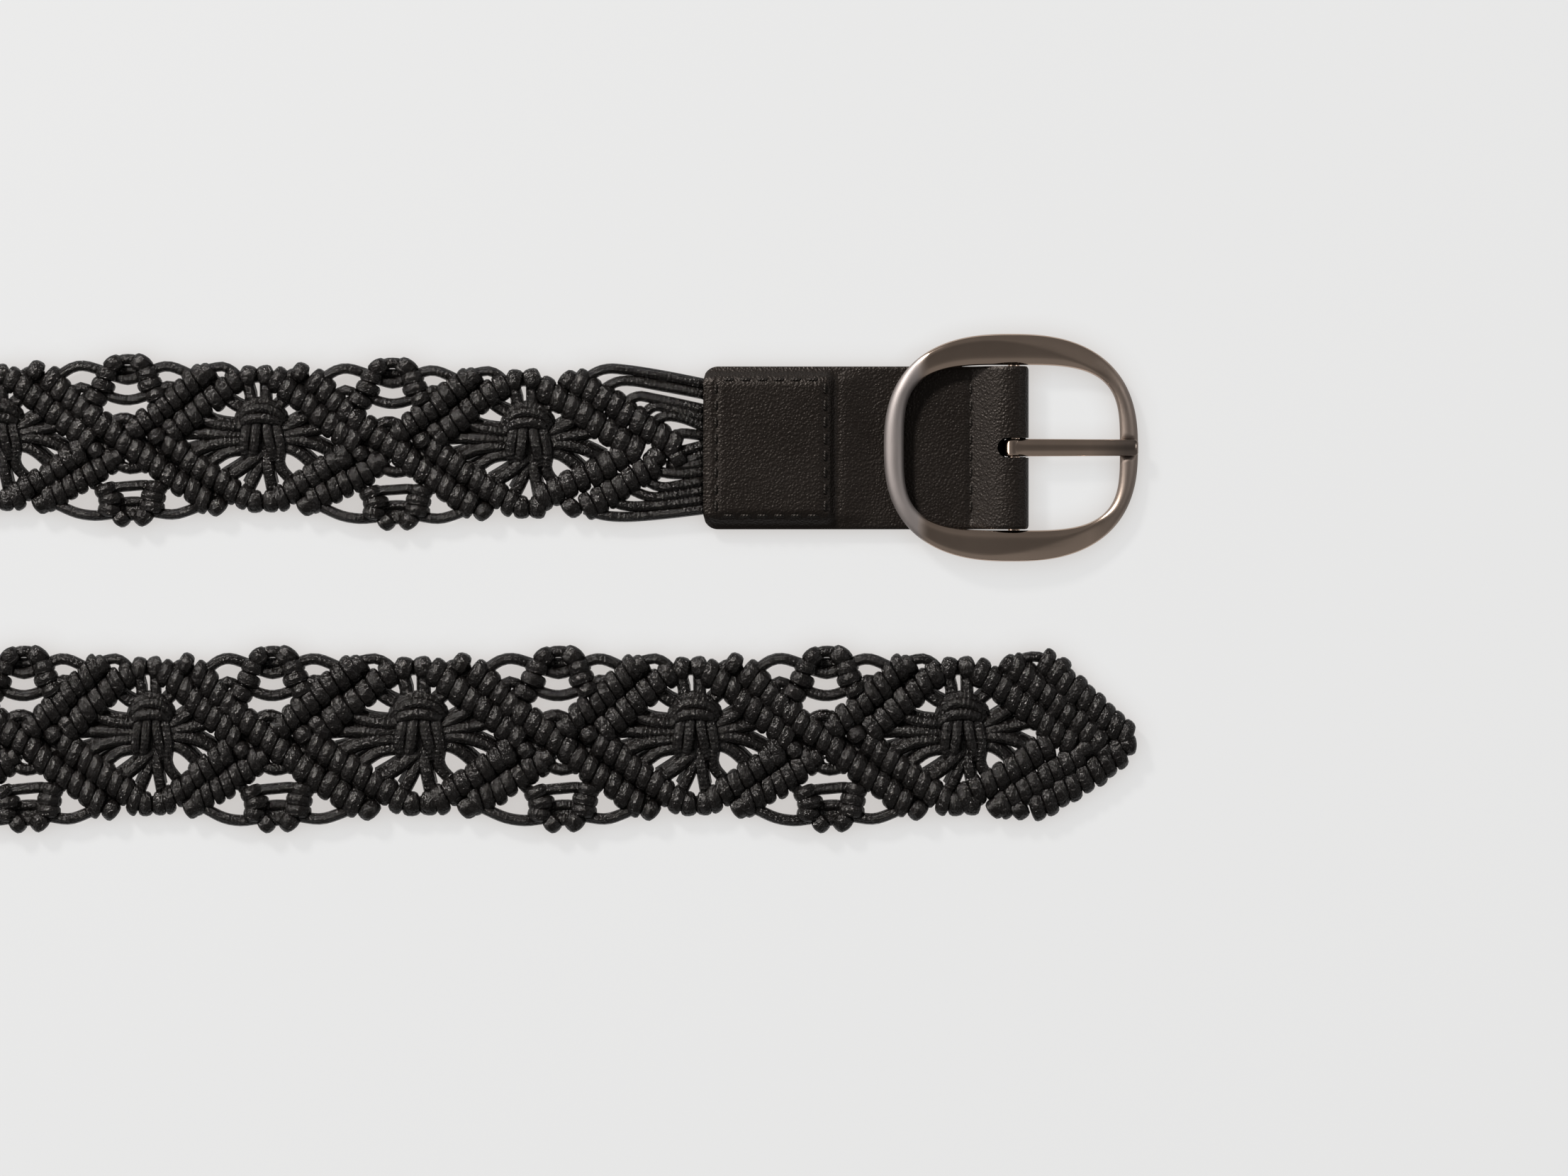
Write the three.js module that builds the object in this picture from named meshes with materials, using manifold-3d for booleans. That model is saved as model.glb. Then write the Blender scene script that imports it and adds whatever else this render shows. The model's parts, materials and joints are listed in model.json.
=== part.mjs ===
// A knotted cord belt with a leather buckle tab, laid doubled on a flat surface.
// Millimetres, +Z up. The band's two stretches lie flat and face up, side by side along X.
// Between them it turns on edge, so each stretch runs into the turn through a quarter twist.
// The origin is the middle of the belt's footprint, on the surface it lies on.
import * as THREE from "three";
import { mergeVertices } from "three/addons/utils/BufferGeometryUtils.js";
import Module from "manifold-3d";

const wasm = await Module();
wasm.setup();

// How the belt is laid
const stretchSpacing = 73; // between the centre lines of the two stretches
const tipLead = 30; // how far the tip reaches past the buckle's bar
const twistLength = 96; // over which a stretch turns up on edge
const bendSteps = 18; // the short steps in which the band follows its turn and its twists

// The knotted band: a chain of diamonds, with a gathering knot in the middle of each
const diamonds = 13;
const diamondLength = 67; // from one gathering knot to the next
const bandWidth = 46.6; // across the picots, the knots on the edges where two diamonds meet
const startLength = 42; // from the leather to the first gathering knot
const tipLength = 42.6; // from the last gathering knot to the tip
const rowWidth = 5; // a row of hitches: one cord with the others hitched round it
const bandThickness = 5.4;
const cordDiameter = 2.4;
const endCords = 12; // cords that run from the band into the leather
const cordTuck = 22; // length of cord held inside the leather

// The leather tab: one strap folded round the buckle's bar, its two ends holding the cords
const strapWidth = 40;
const tabLength = 77.8; // from the bar's axis to the end over the cords
const leather = 1.5; // thickness of the leather
const layerGap = 0.3; // between the two layers where they lie together
const pocketLength = 30.5; // the stretch of the tab that holds the cords
const pocketRamp = 3.2; // over which the front layer comes down behind the cords
const pinchWidth = 3.4; // at each edge, where the front layer comes down beside the cords
const seamFromBar = 11.3; // the seam that closes the fold round the bar
const endCornerRadius = 3.6;
const foldCornerRadius = 1.4;
const slotWidth = 5; // the slot in the fold that the prong comes through
const slotReach = 4.2; // how far the slot runs behind the bar's axis

// The buckle: an oval frame cast in one with its bar, and a prong rolled round the bar
const barRadius = 1.5;
const barSlack = 0.7; // between the bar and the leather round it
const sideSlack = 0.7; // between the strap's edge and the frame
const railWidth = 7.8; // the long sides of the frame
const backBarWidth = 5; // the raised end over the leather
const frontBarWidth = 4.6; // the end that the prong rests on
const frameBehindBar = 32.6;
const frameBeforeBar = 31.2;
const frameHeight = 4; // thickness of the frame from below to above
const frameLift = 0.35; // between the leather and the raised end
const frontBarLift = 0.12; // between the surface and the front bar
const prongWidth = 3.8;
const prongThickness = 2.2;
const rollThickness = 1; // of the prong's metal where it is rolled round the bar
const rollSlack = 0.3; // between the bar and the roll
const seatDepth = 0.9; // of the groove that the prong lies in
const seatSlack = 0.3; // between the prong and its groove

// Worked out from the sizes above
const turnRadius = stretchSpacing / 2;
const bandLength = startLength + (diamonds - 1) * diamondLength + tipLength;
const turnStart = (bandLength - Math.PI * turnRadius - tipLead - tabLength) / 2;
const turnEnd = turnStart + Math.PI * turnRadius;
const turnX = -tabLength - turnStart;
const tabY = stretchSpacing / 2;
const foldRadius = barRadius + barSlack + leather / 2; // of the leather's middle round the bar
const barZ = foldRadius + leather / 2;
const strapTop = 2 * leather + layerGap;

// Helpers that turn geometry into solids and back
function solidOf(geometry) {
  const bare = geometry.clone();
  bare.deleteAttribute("normal");
  bare.deleteAttribute("uv");
  const merged = mergeVertices(bare, 1e-4);
  return new wasm.Manifold(
    new wasm.Mesh({
      numProp: 3,
      vertProperties: new Float32Array(merged.attributes.position.array),
      triVerts: new Uint32Array(merged.index.array),
    }),
  );
}

function geometryOf(solid) {
  const { vertProperties, triVerts } = solid.getMesh();
  return new THREE.BufferGeometry()
    .setAttribute("position", new THREE.BufferAttribute(vertProperties, 3))
    .setIndex(new THREE.BufferAttribute(triVerts, 1));
}

// Joins solids, and drops the points that the joins leave within a hair of a flat face
const hair = 0.01;
const union = (solids) => solids.reduce((all, one) => all.add(one)).simplify(hair);

// A closed body through rings of points. The section gives the shape of its two ends;
// without one the rings close into a loop.
function loft(rings, section) {
  const size = rings[0].length;
  const corners = rings.flat().flatMap((p) => [p.x, p.y, p.z]);
  const faces = [];
  const steps = section ? rings.length - 1 : rings.length;
  for (let i = 0; i < steps; i++) {
    const here = i * size;
    const next = ((i + 1) % rings.length) * size;
    for (let j = 0; j < size; j++) {
      const k = (j + 1) % size;
      faces.push(here + j, here + k, next + k, here + j, next + k, next + j);
    }
  }
  if (section) {
    const last = (rings.length - 1) * size;
    const outline = section.map(([x, y]) => new THREE.Vector2(x, y));
    for (const [i, j, k] of THREE.ShapeUtils.triangulateShape(outline, [])) {
      faces.push(i, k, j, last + i, last + j, last + k);
    }
  }
  return new THREE.BufferGeometry()
    .setAttribute("position", new THREE.Float32BufferAttribute(corners, 3))
    .setIndex(faces);
}

const smooth = (t) => {
  const c = THREE.MathUtils.clamp(t, 0, 1);
  return c * c * (3 - 2 * c);
};

// The band's path

// How far the band has turned up on edge, from 0 flat to a quarter turn
function twistAt(s) {
  const rise = smooth((s - turnStart + twistLength) / twistLength);
  const fall = smooth((turnEnd + twistLength - s) / twistLength);
  return (Math.PI / 2) * Math.min(rise, fall);
}

// The point s along the band from the leather, v across it and n out from its middle surface
function bandPoint(s, v, n) {
  const turned = THREE.MathUtils.clamp((s - turnStart) / turnRadius, 0, Math.PI);
  const before = Math.min(s, turnStart);
  const after = Math.max(s - turnEnd, 0);
  const outward = new THREE.Vector3(-Math.sin(turned), Math.cos(turned), 0);
  const twist = twistAt(s);
  const [flat, upright] = [Math.cos(twist), Math.sin(twist)];
  const middle = outward.clone().multiplyScalar(turnRadius);
  middle.x += s <= turnStart ? -tabLength - before : turnX + after;
  middle.z = (bandThickness / 2) * flat + (bandWidth / 2) * upright;
  return middle
    .addScaledVector(outward, -v * flat + n * upright)
    .add(new THREE.Vector3(0, 0, v * upright + n * flat));
}

// Sections across a cord or a row, as shares of half its width and half its thickness.
// The band's underside is flat, and its cords and rows stand up from it.
const rowSection = [[1, -1], [0.62, 1], [-0.62, 1], [-1, -1]];
const cordSection = [[1, 0], [0, 1], [-1, 0], [0, -1]];
const doubleRowSection = [[1, -1], [0.82, 1], [0.3, 1], [0, 0], [-0.3, 1], [-0.82, 1], [-1, -1]];

// A cord or a row of hitches along a line of points on the flat band, [s, v] each
function rib(line, section, width, thickness, middle = 0) {
  const rings = line.map(([s, v], i) => {
    const [a, b] = [line[Math.max(i - 1, 0)], line[Math.min(i + 1, line.length - 1)]];
    const along = new THREE.Vector2(b[0] - a[0], b[1] - a[1]).normalize();
    return section.map(([side, up]) => {
      const across = (side * width) / 2;
      const height = middle + (up * thickness) / 2;
      return new THREE.Vector3(s - along.y * across, v + along.x * across, height);
    });
  });
  return solidOf(loft(rings, section));
}

// Splits a triangle of the flat band in two or three where it crosses the line s = at
function splitAt(triangle, at) {
  const side = (p) => (Math.abs(p.x - at) < 1e-3 ? 0 : Math.sign(p.x - at));
  const cut = (p, q) => {
    const [low, high] = p.x < q.x ? [p, q] : [q, p];
    return low.clone().lerp(high, (at - low.x) / (high.x - low.x));
  };
  for (let i = 0; i < 3; i++) {
    const [a, b, c] = [0, 1, 2].map((k) => triangle[(i + k) % 3]);
    if (side(a) === 0 && side(b) * side(c) < 0) {
      const p = cut(b, c);
      return [[a, b, p], [a, p, c]];
    }
    if (side(a) * side(b) < 0 && side(a) * side(c) < 0) {
      const [p, q] = [cut(a, b), cut(a, c)];
      return [[a, p, q], [p, b, c], [p, c, q]];
    }
  }
  return [triangle];
}

// The flat band laid along its path, which it follows in short steps where it bends
function laid(flat) {
  const soup = geometryOf(flat).toNonIndexed().attributes.position;
  let triangles = [];
  for (let i = 0; i < soup.count; i += 3) {
    triangles.push([0, 1, 2].map((k) => new THREE.Vector3().fromBufferAttribute(soup, i + k)));
  }
  const [from, to] = [turnStart - twistLength, turnEnd + twistLength];
  for (let i = 0; i <= bendSteps; i++) {
    const at = THREE.MathUtils.lerp(from, to, i / bendSteps);
    triangles = triangles.flatMap((triangle) => splitAt(triangle, at));
  }
  const points = triangles.flat().map((p) => bandPoint(p.x, p.y, p.z));
  return solidOf(new THREE.BufferGeometry().setFromPoints(points));
}

// The knotted pattern. Lengths along the band are shares of half a diamond,
// and lengths across it are shares of half the band's width.
const alongUnit = diamondLength / 2;
const acrossUnit = bandWidth / 2;
const spot = (middle, direction, side) => (u, v) => [
  middle + direction * u * alongUnit,
  side * v * acrossUnit,
];

// Each side of a diamond is a double row of hitches, from its edge to the crossing
const doubleRow = { startU: 0.15, startV: 0.8, endU: 0.85, endV: -0.03, spacingU: 0.3 };
const tipRow = { startU: 0.52, startV: 0.8, endU: 1.19, endV: -0.02 };
const rowSlope = Math.atan2(doubleRow.startV * acrossUnit, (1 - doubleRow.spacingU) * alongUnit);

function diamondSide(middle, direction, side) {
  const { startU, startV, endU, endV, spacingU } = doubleRow;
  const halfU = spacingU / 2 + rowWidth / Math.sin(rowSlope) / 2 / alongUnit;
  const place = spot(middle, direction, side);
  const ring = (u, v) =>
    doubleRowSection.map(([across, up]) => {
      const [s, y] = place(u + across * halfU, v);
      return new THREE.Vector3(s, y, (up * bandThickness) / 2);
    });
  const rings = [ring(startU, startV), ring(endU, endV)];
  return solidOf(loft(direction * side > 0 ? rings : rings.reverse(), doubleRowSection));
}

// The gathering knot in a diamond's middle, with the cords that spread from it
function gatheringKnot(middle) {
  const place = spot(middle, 1, 1);
  const line = (...points) => points.map(([u, v]) => place(u, v));
  const low = -bandThickness / 2;
  const knot = { width: 5.2 * cordDiameter, low: -0.26, high: 0.42 };
  const fan = { reach: 0.6, width: 3.4 * cordDiameter, thickness: 1.4 * cordDiameter };
  const post = { reach: 0.7, width: 2.4 * cordDiameter, thickness: 1.4 * cordDiameter };
  const spread = (ends, { width, thickness }) =>
    rib(ends, rowSection, width, thickness, low + thickness / 2);
  return [
    rib(line([0, knot.low], [0, knot.high]), rowSection, knot.width, bandThickness),
    spread(line([-fan.reach, 0], [fan.reach, 0]), fan),
    spread(line([0, -post.reach], [0, post.reach]), post),
  ];
}

// The picot on one edge where two diamonds meet: two wrapped columns, what joins them,
// and the cord that swings out to it from the rows on each side
function picot(crossing, side) {
  const parts = [];
  for (const direction of [1, -1]) {
    const place = spot(crossing, direction, side);
    const column = [place(0.1, 0.93), place(0.24, 0.5)];
    const swing = [place(0.6, 0.76), place(0.4, 0.86), place(0.14, 0.82)];
    parts.push(rib(column, rowSection, 2.1 * cordDiameter, bandThickness));
    parts.push(rib(swing, cordSection, 1.1 * cordDiameter, 1.1 * cordDiameter));
  }
  const place = spot(crossing, 1, side);
  const bridge = [place(-0.14, 0.69), place(0.14, 0.69)];
  const bridgeThickness = 1.6 * cordDiameter;
  const bridgeMiddle = (bridgeThickness - bandThickness) / 2;
  parts.push(rib(bridge, rowSection, 3.7 * cordDiameter, bridgeThickness, bridgeMiddle));
  return parts;
}

// The cords between the last rows and the leather: the place where each leaves its row,
// the highest point of its swing, and its place at the leather's edge
const cordRuns = [
  { leaveU: 0.42, leaveV: 0.74, swingU: 0.68, swingV: 0.87 },
  { leaveU: 0.57, leaveV: 0.62, swingU: 0.8, swingV: 0.73 },
  { leaveU: 0.7, leaveV: 0.5, swingU: 0.92, swingV: 0.58 },
  { leaveU: 0.8, leaveV: 0.36, swingU: 1.02, swingV: 0.41 },
  { leaveU: 0.88, leaveV: 0.24, swingU: 1.1, swingV: 0.25 },
  { leaveU: 0.94, leaveV: 0.08, swingU: 1.14, swingV: 0.1 },
];

function cordEnds() {
  const pitch = (strapWidth - 2 * pinchWidth - cordDiameter) / (endCords - 1);
  const held = (bandThickness - cordDiameter) / 2;
  const heldHeight = leather + layerGap + cordDiameter / 2 - bandThickness / 2;
  const cords = [1, -1].flatMap((side) => {
    const place = spot(startLength, -1, side);
    return cordRuns.map(({ leaveU, leaveV, swingU, swingV }, i) => {
      const edge = side * pitch * (endCords / 2 - i - 0.5);
      const line = [place(leaveU, leaveV), place(swingU, swingV), [0, edge], [-cordTuck, edge]];
      return rib(line, cordSection, cordDiameter, cordDiameter, Math.min(held, heldHeight));
    });
  });
  return union(cords);
}

// The whole net of knots, flat
function net() {
  const parts = [];
  for (let k = 0; k < diamonds; k++) {
    const middle = startLength + k * diamondLength;
    parts.push(...gatheringKnot(middle));
    for (const direction of [1, -1]) {
      for (const side of [1, -1]) parts.push(diamondSide(middle, direction, side));
    }
    if (k > 0) {
      const crossing = middle - diamondLength / 2;
      parts.push(...picot(crossing, 1), ...picot(crossing, -1));
    }
  }
  const last = startLength + (diamonds - 1) * diamondLength;
  for (const side of [1, -1]) {
    const place = spot(last, 1, side);
    const line = [place(tipRow.startU, tipRow.startV), place(tipRow.endU, tipRow.endV)];
    parts.push(rib(line, rowSection, rowWidth, bandThickness));
  }
  return union(parts);
}

// The leather strap's middle line from the side, from the lower end round the bar to the upper end
function strapLine() {
  const points = [];
  const end = -tabLength;
  const low = leather / 2;
  const high = leather + layerGap + leather / 2;
  const foldSteps = 10;
  const slopeSteps = 5;
  for (const x of [end, end + pocketLength, -seamFromBar]) points.push([x, low]);
  for (let i = 0; i <= foldSteps; i++) {
    const a = -Math.PI / 2 + (Math.PI * i) / foldSteps;
    points.push([foldRadius * Math.cos(a), barZ + foldRadius * Math.sin(a)]);
  }
  for (let i = 1; i <= slopeSteps; i++) {
    const t = i / slopeSteps;
    points.push([-seamFromBar * t, THREE.MathUtils.lerp(barZ + foldRadius, high, smooth(t))]);
  }
  for (const x of [end + pocketLength + pocketRamp, end + pocketLength]) points.push([x, high]);
  for (const t of [0.85, 0.55, 0.25, 0]) points.push([end + pocketLength * t, high]);
  return points;
}

// How much the front layer stands up over the cords, from 0 beside them to 1 over them
function pocketRise(x, y) {
  const behind = smooth((-tabLength + pocketLength + pocketRamp - x) / pocketRamp);
  const beside = smooth((strapWidth / 2 - Math.abs(y)) / pinchWidth);
  return behind * beside;
}

function tab() {
  const line = strapLine();
  const across = [-1, -0.91, -0.83, 0, 0.83, 0.91, 1].map((share) => (share * strapWidth) / 2);
  const cordRoom = cordDiameter + layerGap;
  const rings = line.map(([x, z], i) => {
    const [a, b] = [line[Math.max(i - 1, 0)], line[Math.min(i + 1, line.length - 1)]];
    const along = new THREE.Vector2(b[0] - a[0], b[1] - a[1]).normalize();
    const front = i > line.length / 2;
    const point = (y, side) => {
      const rise = front ? cordRoom * pocketRise(x, y) : 0;
      const out = (side * leather) / 2;
      return new THREE.Vector3(x + along.y * out, tabY + y, z + rise - along.x * out);
    };
    const outside = across.map((y) => point(y, 1));
    const inside = across.map((y) => point(y, -1)).reverse();
    return [...outside, ...inside];
  });
  const section = rings[0].map((p) => [p.y, p.z]);
  return solidOf(loft(rings, section)).subtract(tabCuts());
}

// What is cut from the strap: its rounded corners, and the slot for the prong
function tabCuts() {
  const tall = 4 * barZ;
  const upright = (shape) =>
    solidOf(
      new THREE.ExtrudeGeometry(shape, { depth: tall, bevelEnabled: false, curveSegments: 5 })
        .translate(0, tabY, -tall / 4),
    );
  const corner = (x, side, radius, inwards) => {
    const y = (side * strapWidth) / 2;
    const past = 1; // the cutter reaches past the strap
    const shape = new THREE.Shape();
    shape.moveTo(x + inwards * radius, y);
    shape.quadraticCurveTo(x, y, x, y - side * radius);
    shape.lineTo(x - inwards * past, y - side * radius);
    shape.lineTo(x - inwards * past, y + side * past);
    shape.lineTo(x + inwards * radius, y + side * past);
    return upright(shape);
  };
  const slot = new THREE.Shape();
  const half = slotWidth / 2;
  slot.moveTo(2 * barZ, -half);
  slot.lineTo(2 * barZ, half);
  slot.lineTo(half - slotReach, half);
  slot.absarc(half - slotReach, 0, half, Math.PI / 2, (3 * Math.PI) / 2, false);
  const foldEnd = foldRadius + leather / 2;
  return union([
    upright(slot),
    ...[1, -1].map((side) => corner(-tabLength, side, endCornerRadius, 1)),
    ...[1, -1].map((side) => corner(foldEnd, side, foldCornerRadius, -1)),
  ]);
}

// The buckle's frame in plan: an outer and an inner oval, the same number of points on each
const frameMiddle = (frameBeforeBar - frameBehindBar) / 2;
const frameHalfLength = (frameBeforeBar + frameBehindBar) / 2;
const openingMiddle = frameMiddle + (backBarWidth - frontBarWidth) / 2;
const openingHalfLength = frameHalfLength - (backBarWidth + frontBarWidth) / 2;
const openingHalfWidth = strapWidth / 2 + sideSlack;
const outerSquareness = 2.5;
const innerSquareness = 3.6;

function oval(angle, middle, halfLength, halfWidth, squareness) {
  const power = (value) => Math.sign(value) * Math.abs(value) ** (2 / squareness);
  return new THREE.Vector2(
    middle + halfLength * power(Math.cos(angle)),
    halfWidth * power(Math.sin(angle)),
  );
}

// Height of the frame's middle: arched over the leather, and down to the surface in front
const archX = -frameBehindBar * 0.72;
const archZ = strapTop + frameLift + frameHeight / 2 + 0.1;
const frontZ = frontBarLift + frameHeight / 2;

function frameZ(x) {
  const share = (x - archX) / (frameBeforeBar - archX);
  return archZ - (archZ - frontZ) * share * share;
}

function frame() {
  const stations = 44;
  const section = [
    [1, 0],
    [0.7, -0.85],
    [0, -1],
    [-0.7, -0.85],
    [-1, 0],
    [-0.66, 0.74],
    [0.1, 1],
    [0.72, 0.72],
  ];
  const rings = [];
  for (let i = 0; i < stations; i++) {
    const angle = (2 * Math.PI * i) / stations;
    const outer = oval(
      angle,
      frameMiddle,
      frameHalfLength,
      openingHalfWidth + railWidth,
      outerSquareness,
    );
    const inner = oval(
      angle,
      openingMiddle,
      openingHalfLength,
      openingHalfWidth,
      innerSquareness,
    );
    rings.push(
      section.map(([side, up]) => {
        const at = inner.clone().lerp(outer, (side + 1) / 2);
        return new THREE.Vector3(at.x, tabY + at.y, frameZ(at.x) + (up * frameHeight) / 2);
      }),
    );
  }
  const barLength = 2 * openingHalfWidth + railWidth;
  const bar = new THREE.CylinderGeometry(barRadius, barRadius, barLength, 14);
  const groove = new THREE.BoxGeometry(
    3 * frontBarWidth,
    prongWidth + 2 * seatSlack,
    frameHeight,
  );
  return solidOf(loft(rings))
    .add(solidOf(bar.translate(0, tabY, barZ)))
    .subtract(
      solidOf(groove.translate(frameBeforeBar, tabY, seatZ - seatSlack + frameHeight / 2)),
    );
}

// Underside of the prong where it lies in its groove on the front bar
const seatX = frameBeforeBar - frontBarWidth / 2;
const seatZ = frameZ(seatX) + frameHeight / 2 - seatDepth + seatSlack;

// The prong from the side: a roll round the bar and a tapering shank, cut to its width
function prong() {
  const hole = barRadius + rollSlack;
  const roll = hole + rollThickness;
  const top = barZ + roll;
  const endX = frameBeforeBar - 0.1;
  const shape = new THREE.Shape();
  const lean = Math.asin((roll - prongThickness) / roll);
  shape.absarc(0, barZ, roll, lean, Math.PI / 2, true);
  shape.lineTo(roll, top);
  shape.lineTo(endX - 1.2, seatZ + prongThickness * 0.95);
  shape.quadraticCurveTo(endX, seatZ + prongThickness * 0.9, endX, seatZ + 0.5);
  shape.lineTo(endX, seatZ);
  shape.lineTo(seatX - frontBarWidth, seatZ);
  const side = new THREE.ExtrudeGeometry(shape, {
    depth: prongWidth,
    bevelEnabled: false,
    curveSegments: 18,
  });
  const eye = new THREE.CylinderGeometry(hole, hole, 2 * prongWidth, 18);
  return solidOf(side.rotateX(Math.PI / 2).translate(0, tabY + prongWidth / 2, 0)).subtract(
    solidOf(eye.translate(0, tabY, barZ)),
  );
}

// The assembly
const cordFinish = new THREE.MeshStandardMaterial({
  name: "waxed_cord",
  color: 0x2c2c2d,
  roughness: 0.62,
  metalness: 0,
});
const leatherFinish = new THREE.MeshStandardMaterial({
  name: "leather",
  color: 0x1b1918,
  roughness: 0.48,
  metalness: 0,
});
const gunmetal = new THREE.MeshStandardMaterial({
  name: "gunmetal",
  color: 0x6d6361,
  roughness: 0.28,
  metalness: 1,
});

const belt = new THREE.Group();

function addPiece(name, geometry, material) {
  const mesh = new THREE.Mesh(geometry, material);
  mesh.name = name;
  belt.add(mesh);
}

addPiece("knotted_band", geometryOf(union([laid(net()), laid(cordEnds())])), cordFinish);
addPiece("leather_tab", geometryOf(tab()), leatherFinish);
addPiece("buckle_frame", geometryOf(frame()), gunmetal);
addPiece("prong", geometryOf(prong()), gunmetal);

// The origin goes to the middle of the footprint, on the surface
const extent = new THREE.Box3().setFromObject(belt);
const footprint = extent.getCenter(new THREE.Vector3());
belt.position.set(-footprint.x, -footprint.y, -extent.min.z);

const part = new THREE.Group();
part.add(belt);

export default part;
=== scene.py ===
"""Looks of a knotted cord belt with a leather buckle tab, laid doubled on a pale surface.

The band is made flat in millimetres and then laid along the same path as its CAD solid.
On the flat band s runs along it from the leather, v across it and n out of its face.
"""

import json
import math
import random

import bmesh
import bpy
import numpy as np
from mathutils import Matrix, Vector

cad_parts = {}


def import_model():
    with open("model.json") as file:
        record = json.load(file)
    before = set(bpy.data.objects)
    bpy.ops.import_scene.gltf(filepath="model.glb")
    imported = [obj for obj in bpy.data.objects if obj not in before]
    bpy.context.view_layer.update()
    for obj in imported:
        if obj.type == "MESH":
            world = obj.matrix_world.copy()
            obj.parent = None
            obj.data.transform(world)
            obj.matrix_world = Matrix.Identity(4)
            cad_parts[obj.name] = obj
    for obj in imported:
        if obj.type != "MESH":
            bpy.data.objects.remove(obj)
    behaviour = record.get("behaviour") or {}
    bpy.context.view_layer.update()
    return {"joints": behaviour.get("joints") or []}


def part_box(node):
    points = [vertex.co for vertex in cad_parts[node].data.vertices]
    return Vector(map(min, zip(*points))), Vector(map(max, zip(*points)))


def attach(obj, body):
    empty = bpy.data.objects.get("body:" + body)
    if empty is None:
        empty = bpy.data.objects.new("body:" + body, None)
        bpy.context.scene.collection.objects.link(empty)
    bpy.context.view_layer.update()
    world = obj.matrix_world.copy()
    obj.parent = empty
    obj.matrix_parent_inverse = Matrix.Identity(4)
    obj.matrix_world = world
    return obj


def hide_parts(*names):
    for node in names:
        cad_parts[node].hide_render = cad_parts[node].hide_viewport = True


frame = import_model()

MM = 0.001
rng = random.Random(11)

# The bar of the buckle is the place that everything else is measured from
bar = Vector(frame["joints"][0]["pos_m"]) / MM
tab_low, tab_high = (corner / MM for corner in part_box("leather_tab"))
frame_low, frame_high = (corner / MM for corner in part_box("buckle_frame"))

# The band's path, as in the CAD
STRETCH_SPACING = 73.0
TWIST_LENGTH = 96.0
TIP_LEAD = 30.0
DIAMONDS = 13
DIAMOND_LENGTH = 67.0
START_LENGTH = 42.0
TIP_LENGTH = 42.6
BAND_WIDTH = 46.6
BAND_THICKNESS = 5.4
TURN_RADIUS = STRETCH_SPACING / 2
TAB_LENGTH = bar.x - tab_low.x
BAND_LENGTH = START_LENGTH + (DIAMONDS - 1) * DIAMOND_LENGTH + TIP_LENGTH
TURN_START = (BAND_LENGTH - math.pi * TURN_RADIUS - TIP_LEAD - TAB_LENGTH) / 2
TURN_END = TURN_START + math.pi * TURN_RADIUS
TURN_X = -TAB_LENGTH - TURN_START
CORD = 2.7

# How the net lies since it was put down by hand, in mm, and as a share of its width
DRAWN_IN = 0.075
SHIFTED = 1.9
SLACK = 1.7
PULLED, PULL_REACH = 4.9, 38
PULLED_AT = START_LENGTH + 9.5 * DIAMOND_LENGTH
# Cords that would dip into the surface are pressed flat this far above it
PRESSED = 0.02

# The leather tab and the buckle, as in the CAD
STRAP_WIDTH = tab_high.y - tab_low.y
LEATHER = 1.5
LAYER_GAP = 0.3


def smooth(t):
    t = np.clip(t, 0, 1)
    return t * t * (3 - 2 * t)


def as_laid(s, v):
    """Flat band places, drawn in, shifted and pulled a little as the net lies in the photo."""
    near = smooth(s / 60) * smooth((TURN_START - s) / 100)
    askew = smooth(s / 150) * smooth((TURN_START - TWIST_LENGTH - s) / 70)
    slack = SLACK * smooth(s / START_LENGTH) * smooth((260 - s) / 200)
    pulled = PULLED * np.exp(-(((s - PULLED_AT) / PULL_REACH) ** 2))
    return s + slack - pulled, v * (1 - DRAWN_IN * near) - SHIFTED * askew


def band_points(flat):
    """World places, in metres, of flat band points in rows of (s, v, n)."""
    s, v, n = np.asarray(flat, float).T
    s, v = as_laid(s, v)
    turned = np.clip((s - TURN_START) / TURN_RADIUS, 0, math.pi)
    rise = smooth((s - TURN_START + TWIST_LENGTH) / TWIST_LENGTH)
    fall = smooth((TURN_END + TWIST_LENGTH - s) / TWIST_LENGTH)
    twist = math.pi / 2 * np.minimum(rise, fall)
    lying, upright = np.cos(twist), np.sin(twist)
    along = np.where(s <= TURN_START, -TAB_LENGTH - s, TURN_X + np.maximum(s - TURN_END, 0))
    reach = TURN_RADIUS - v * lying + n * upright
    x = along - np.sin(turned) * reach
    y = np.cos(turned) * reach - STRETCH_SPACING / 2
    z = (BAND_THICKNESS / 2 + n) * lying + (BAND_WIDTH / 2 + v) * upright
    return np.column_stack([x + bar.x, y + bar.y, np.maximum(z, PRESSED)]) * MM


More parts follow.
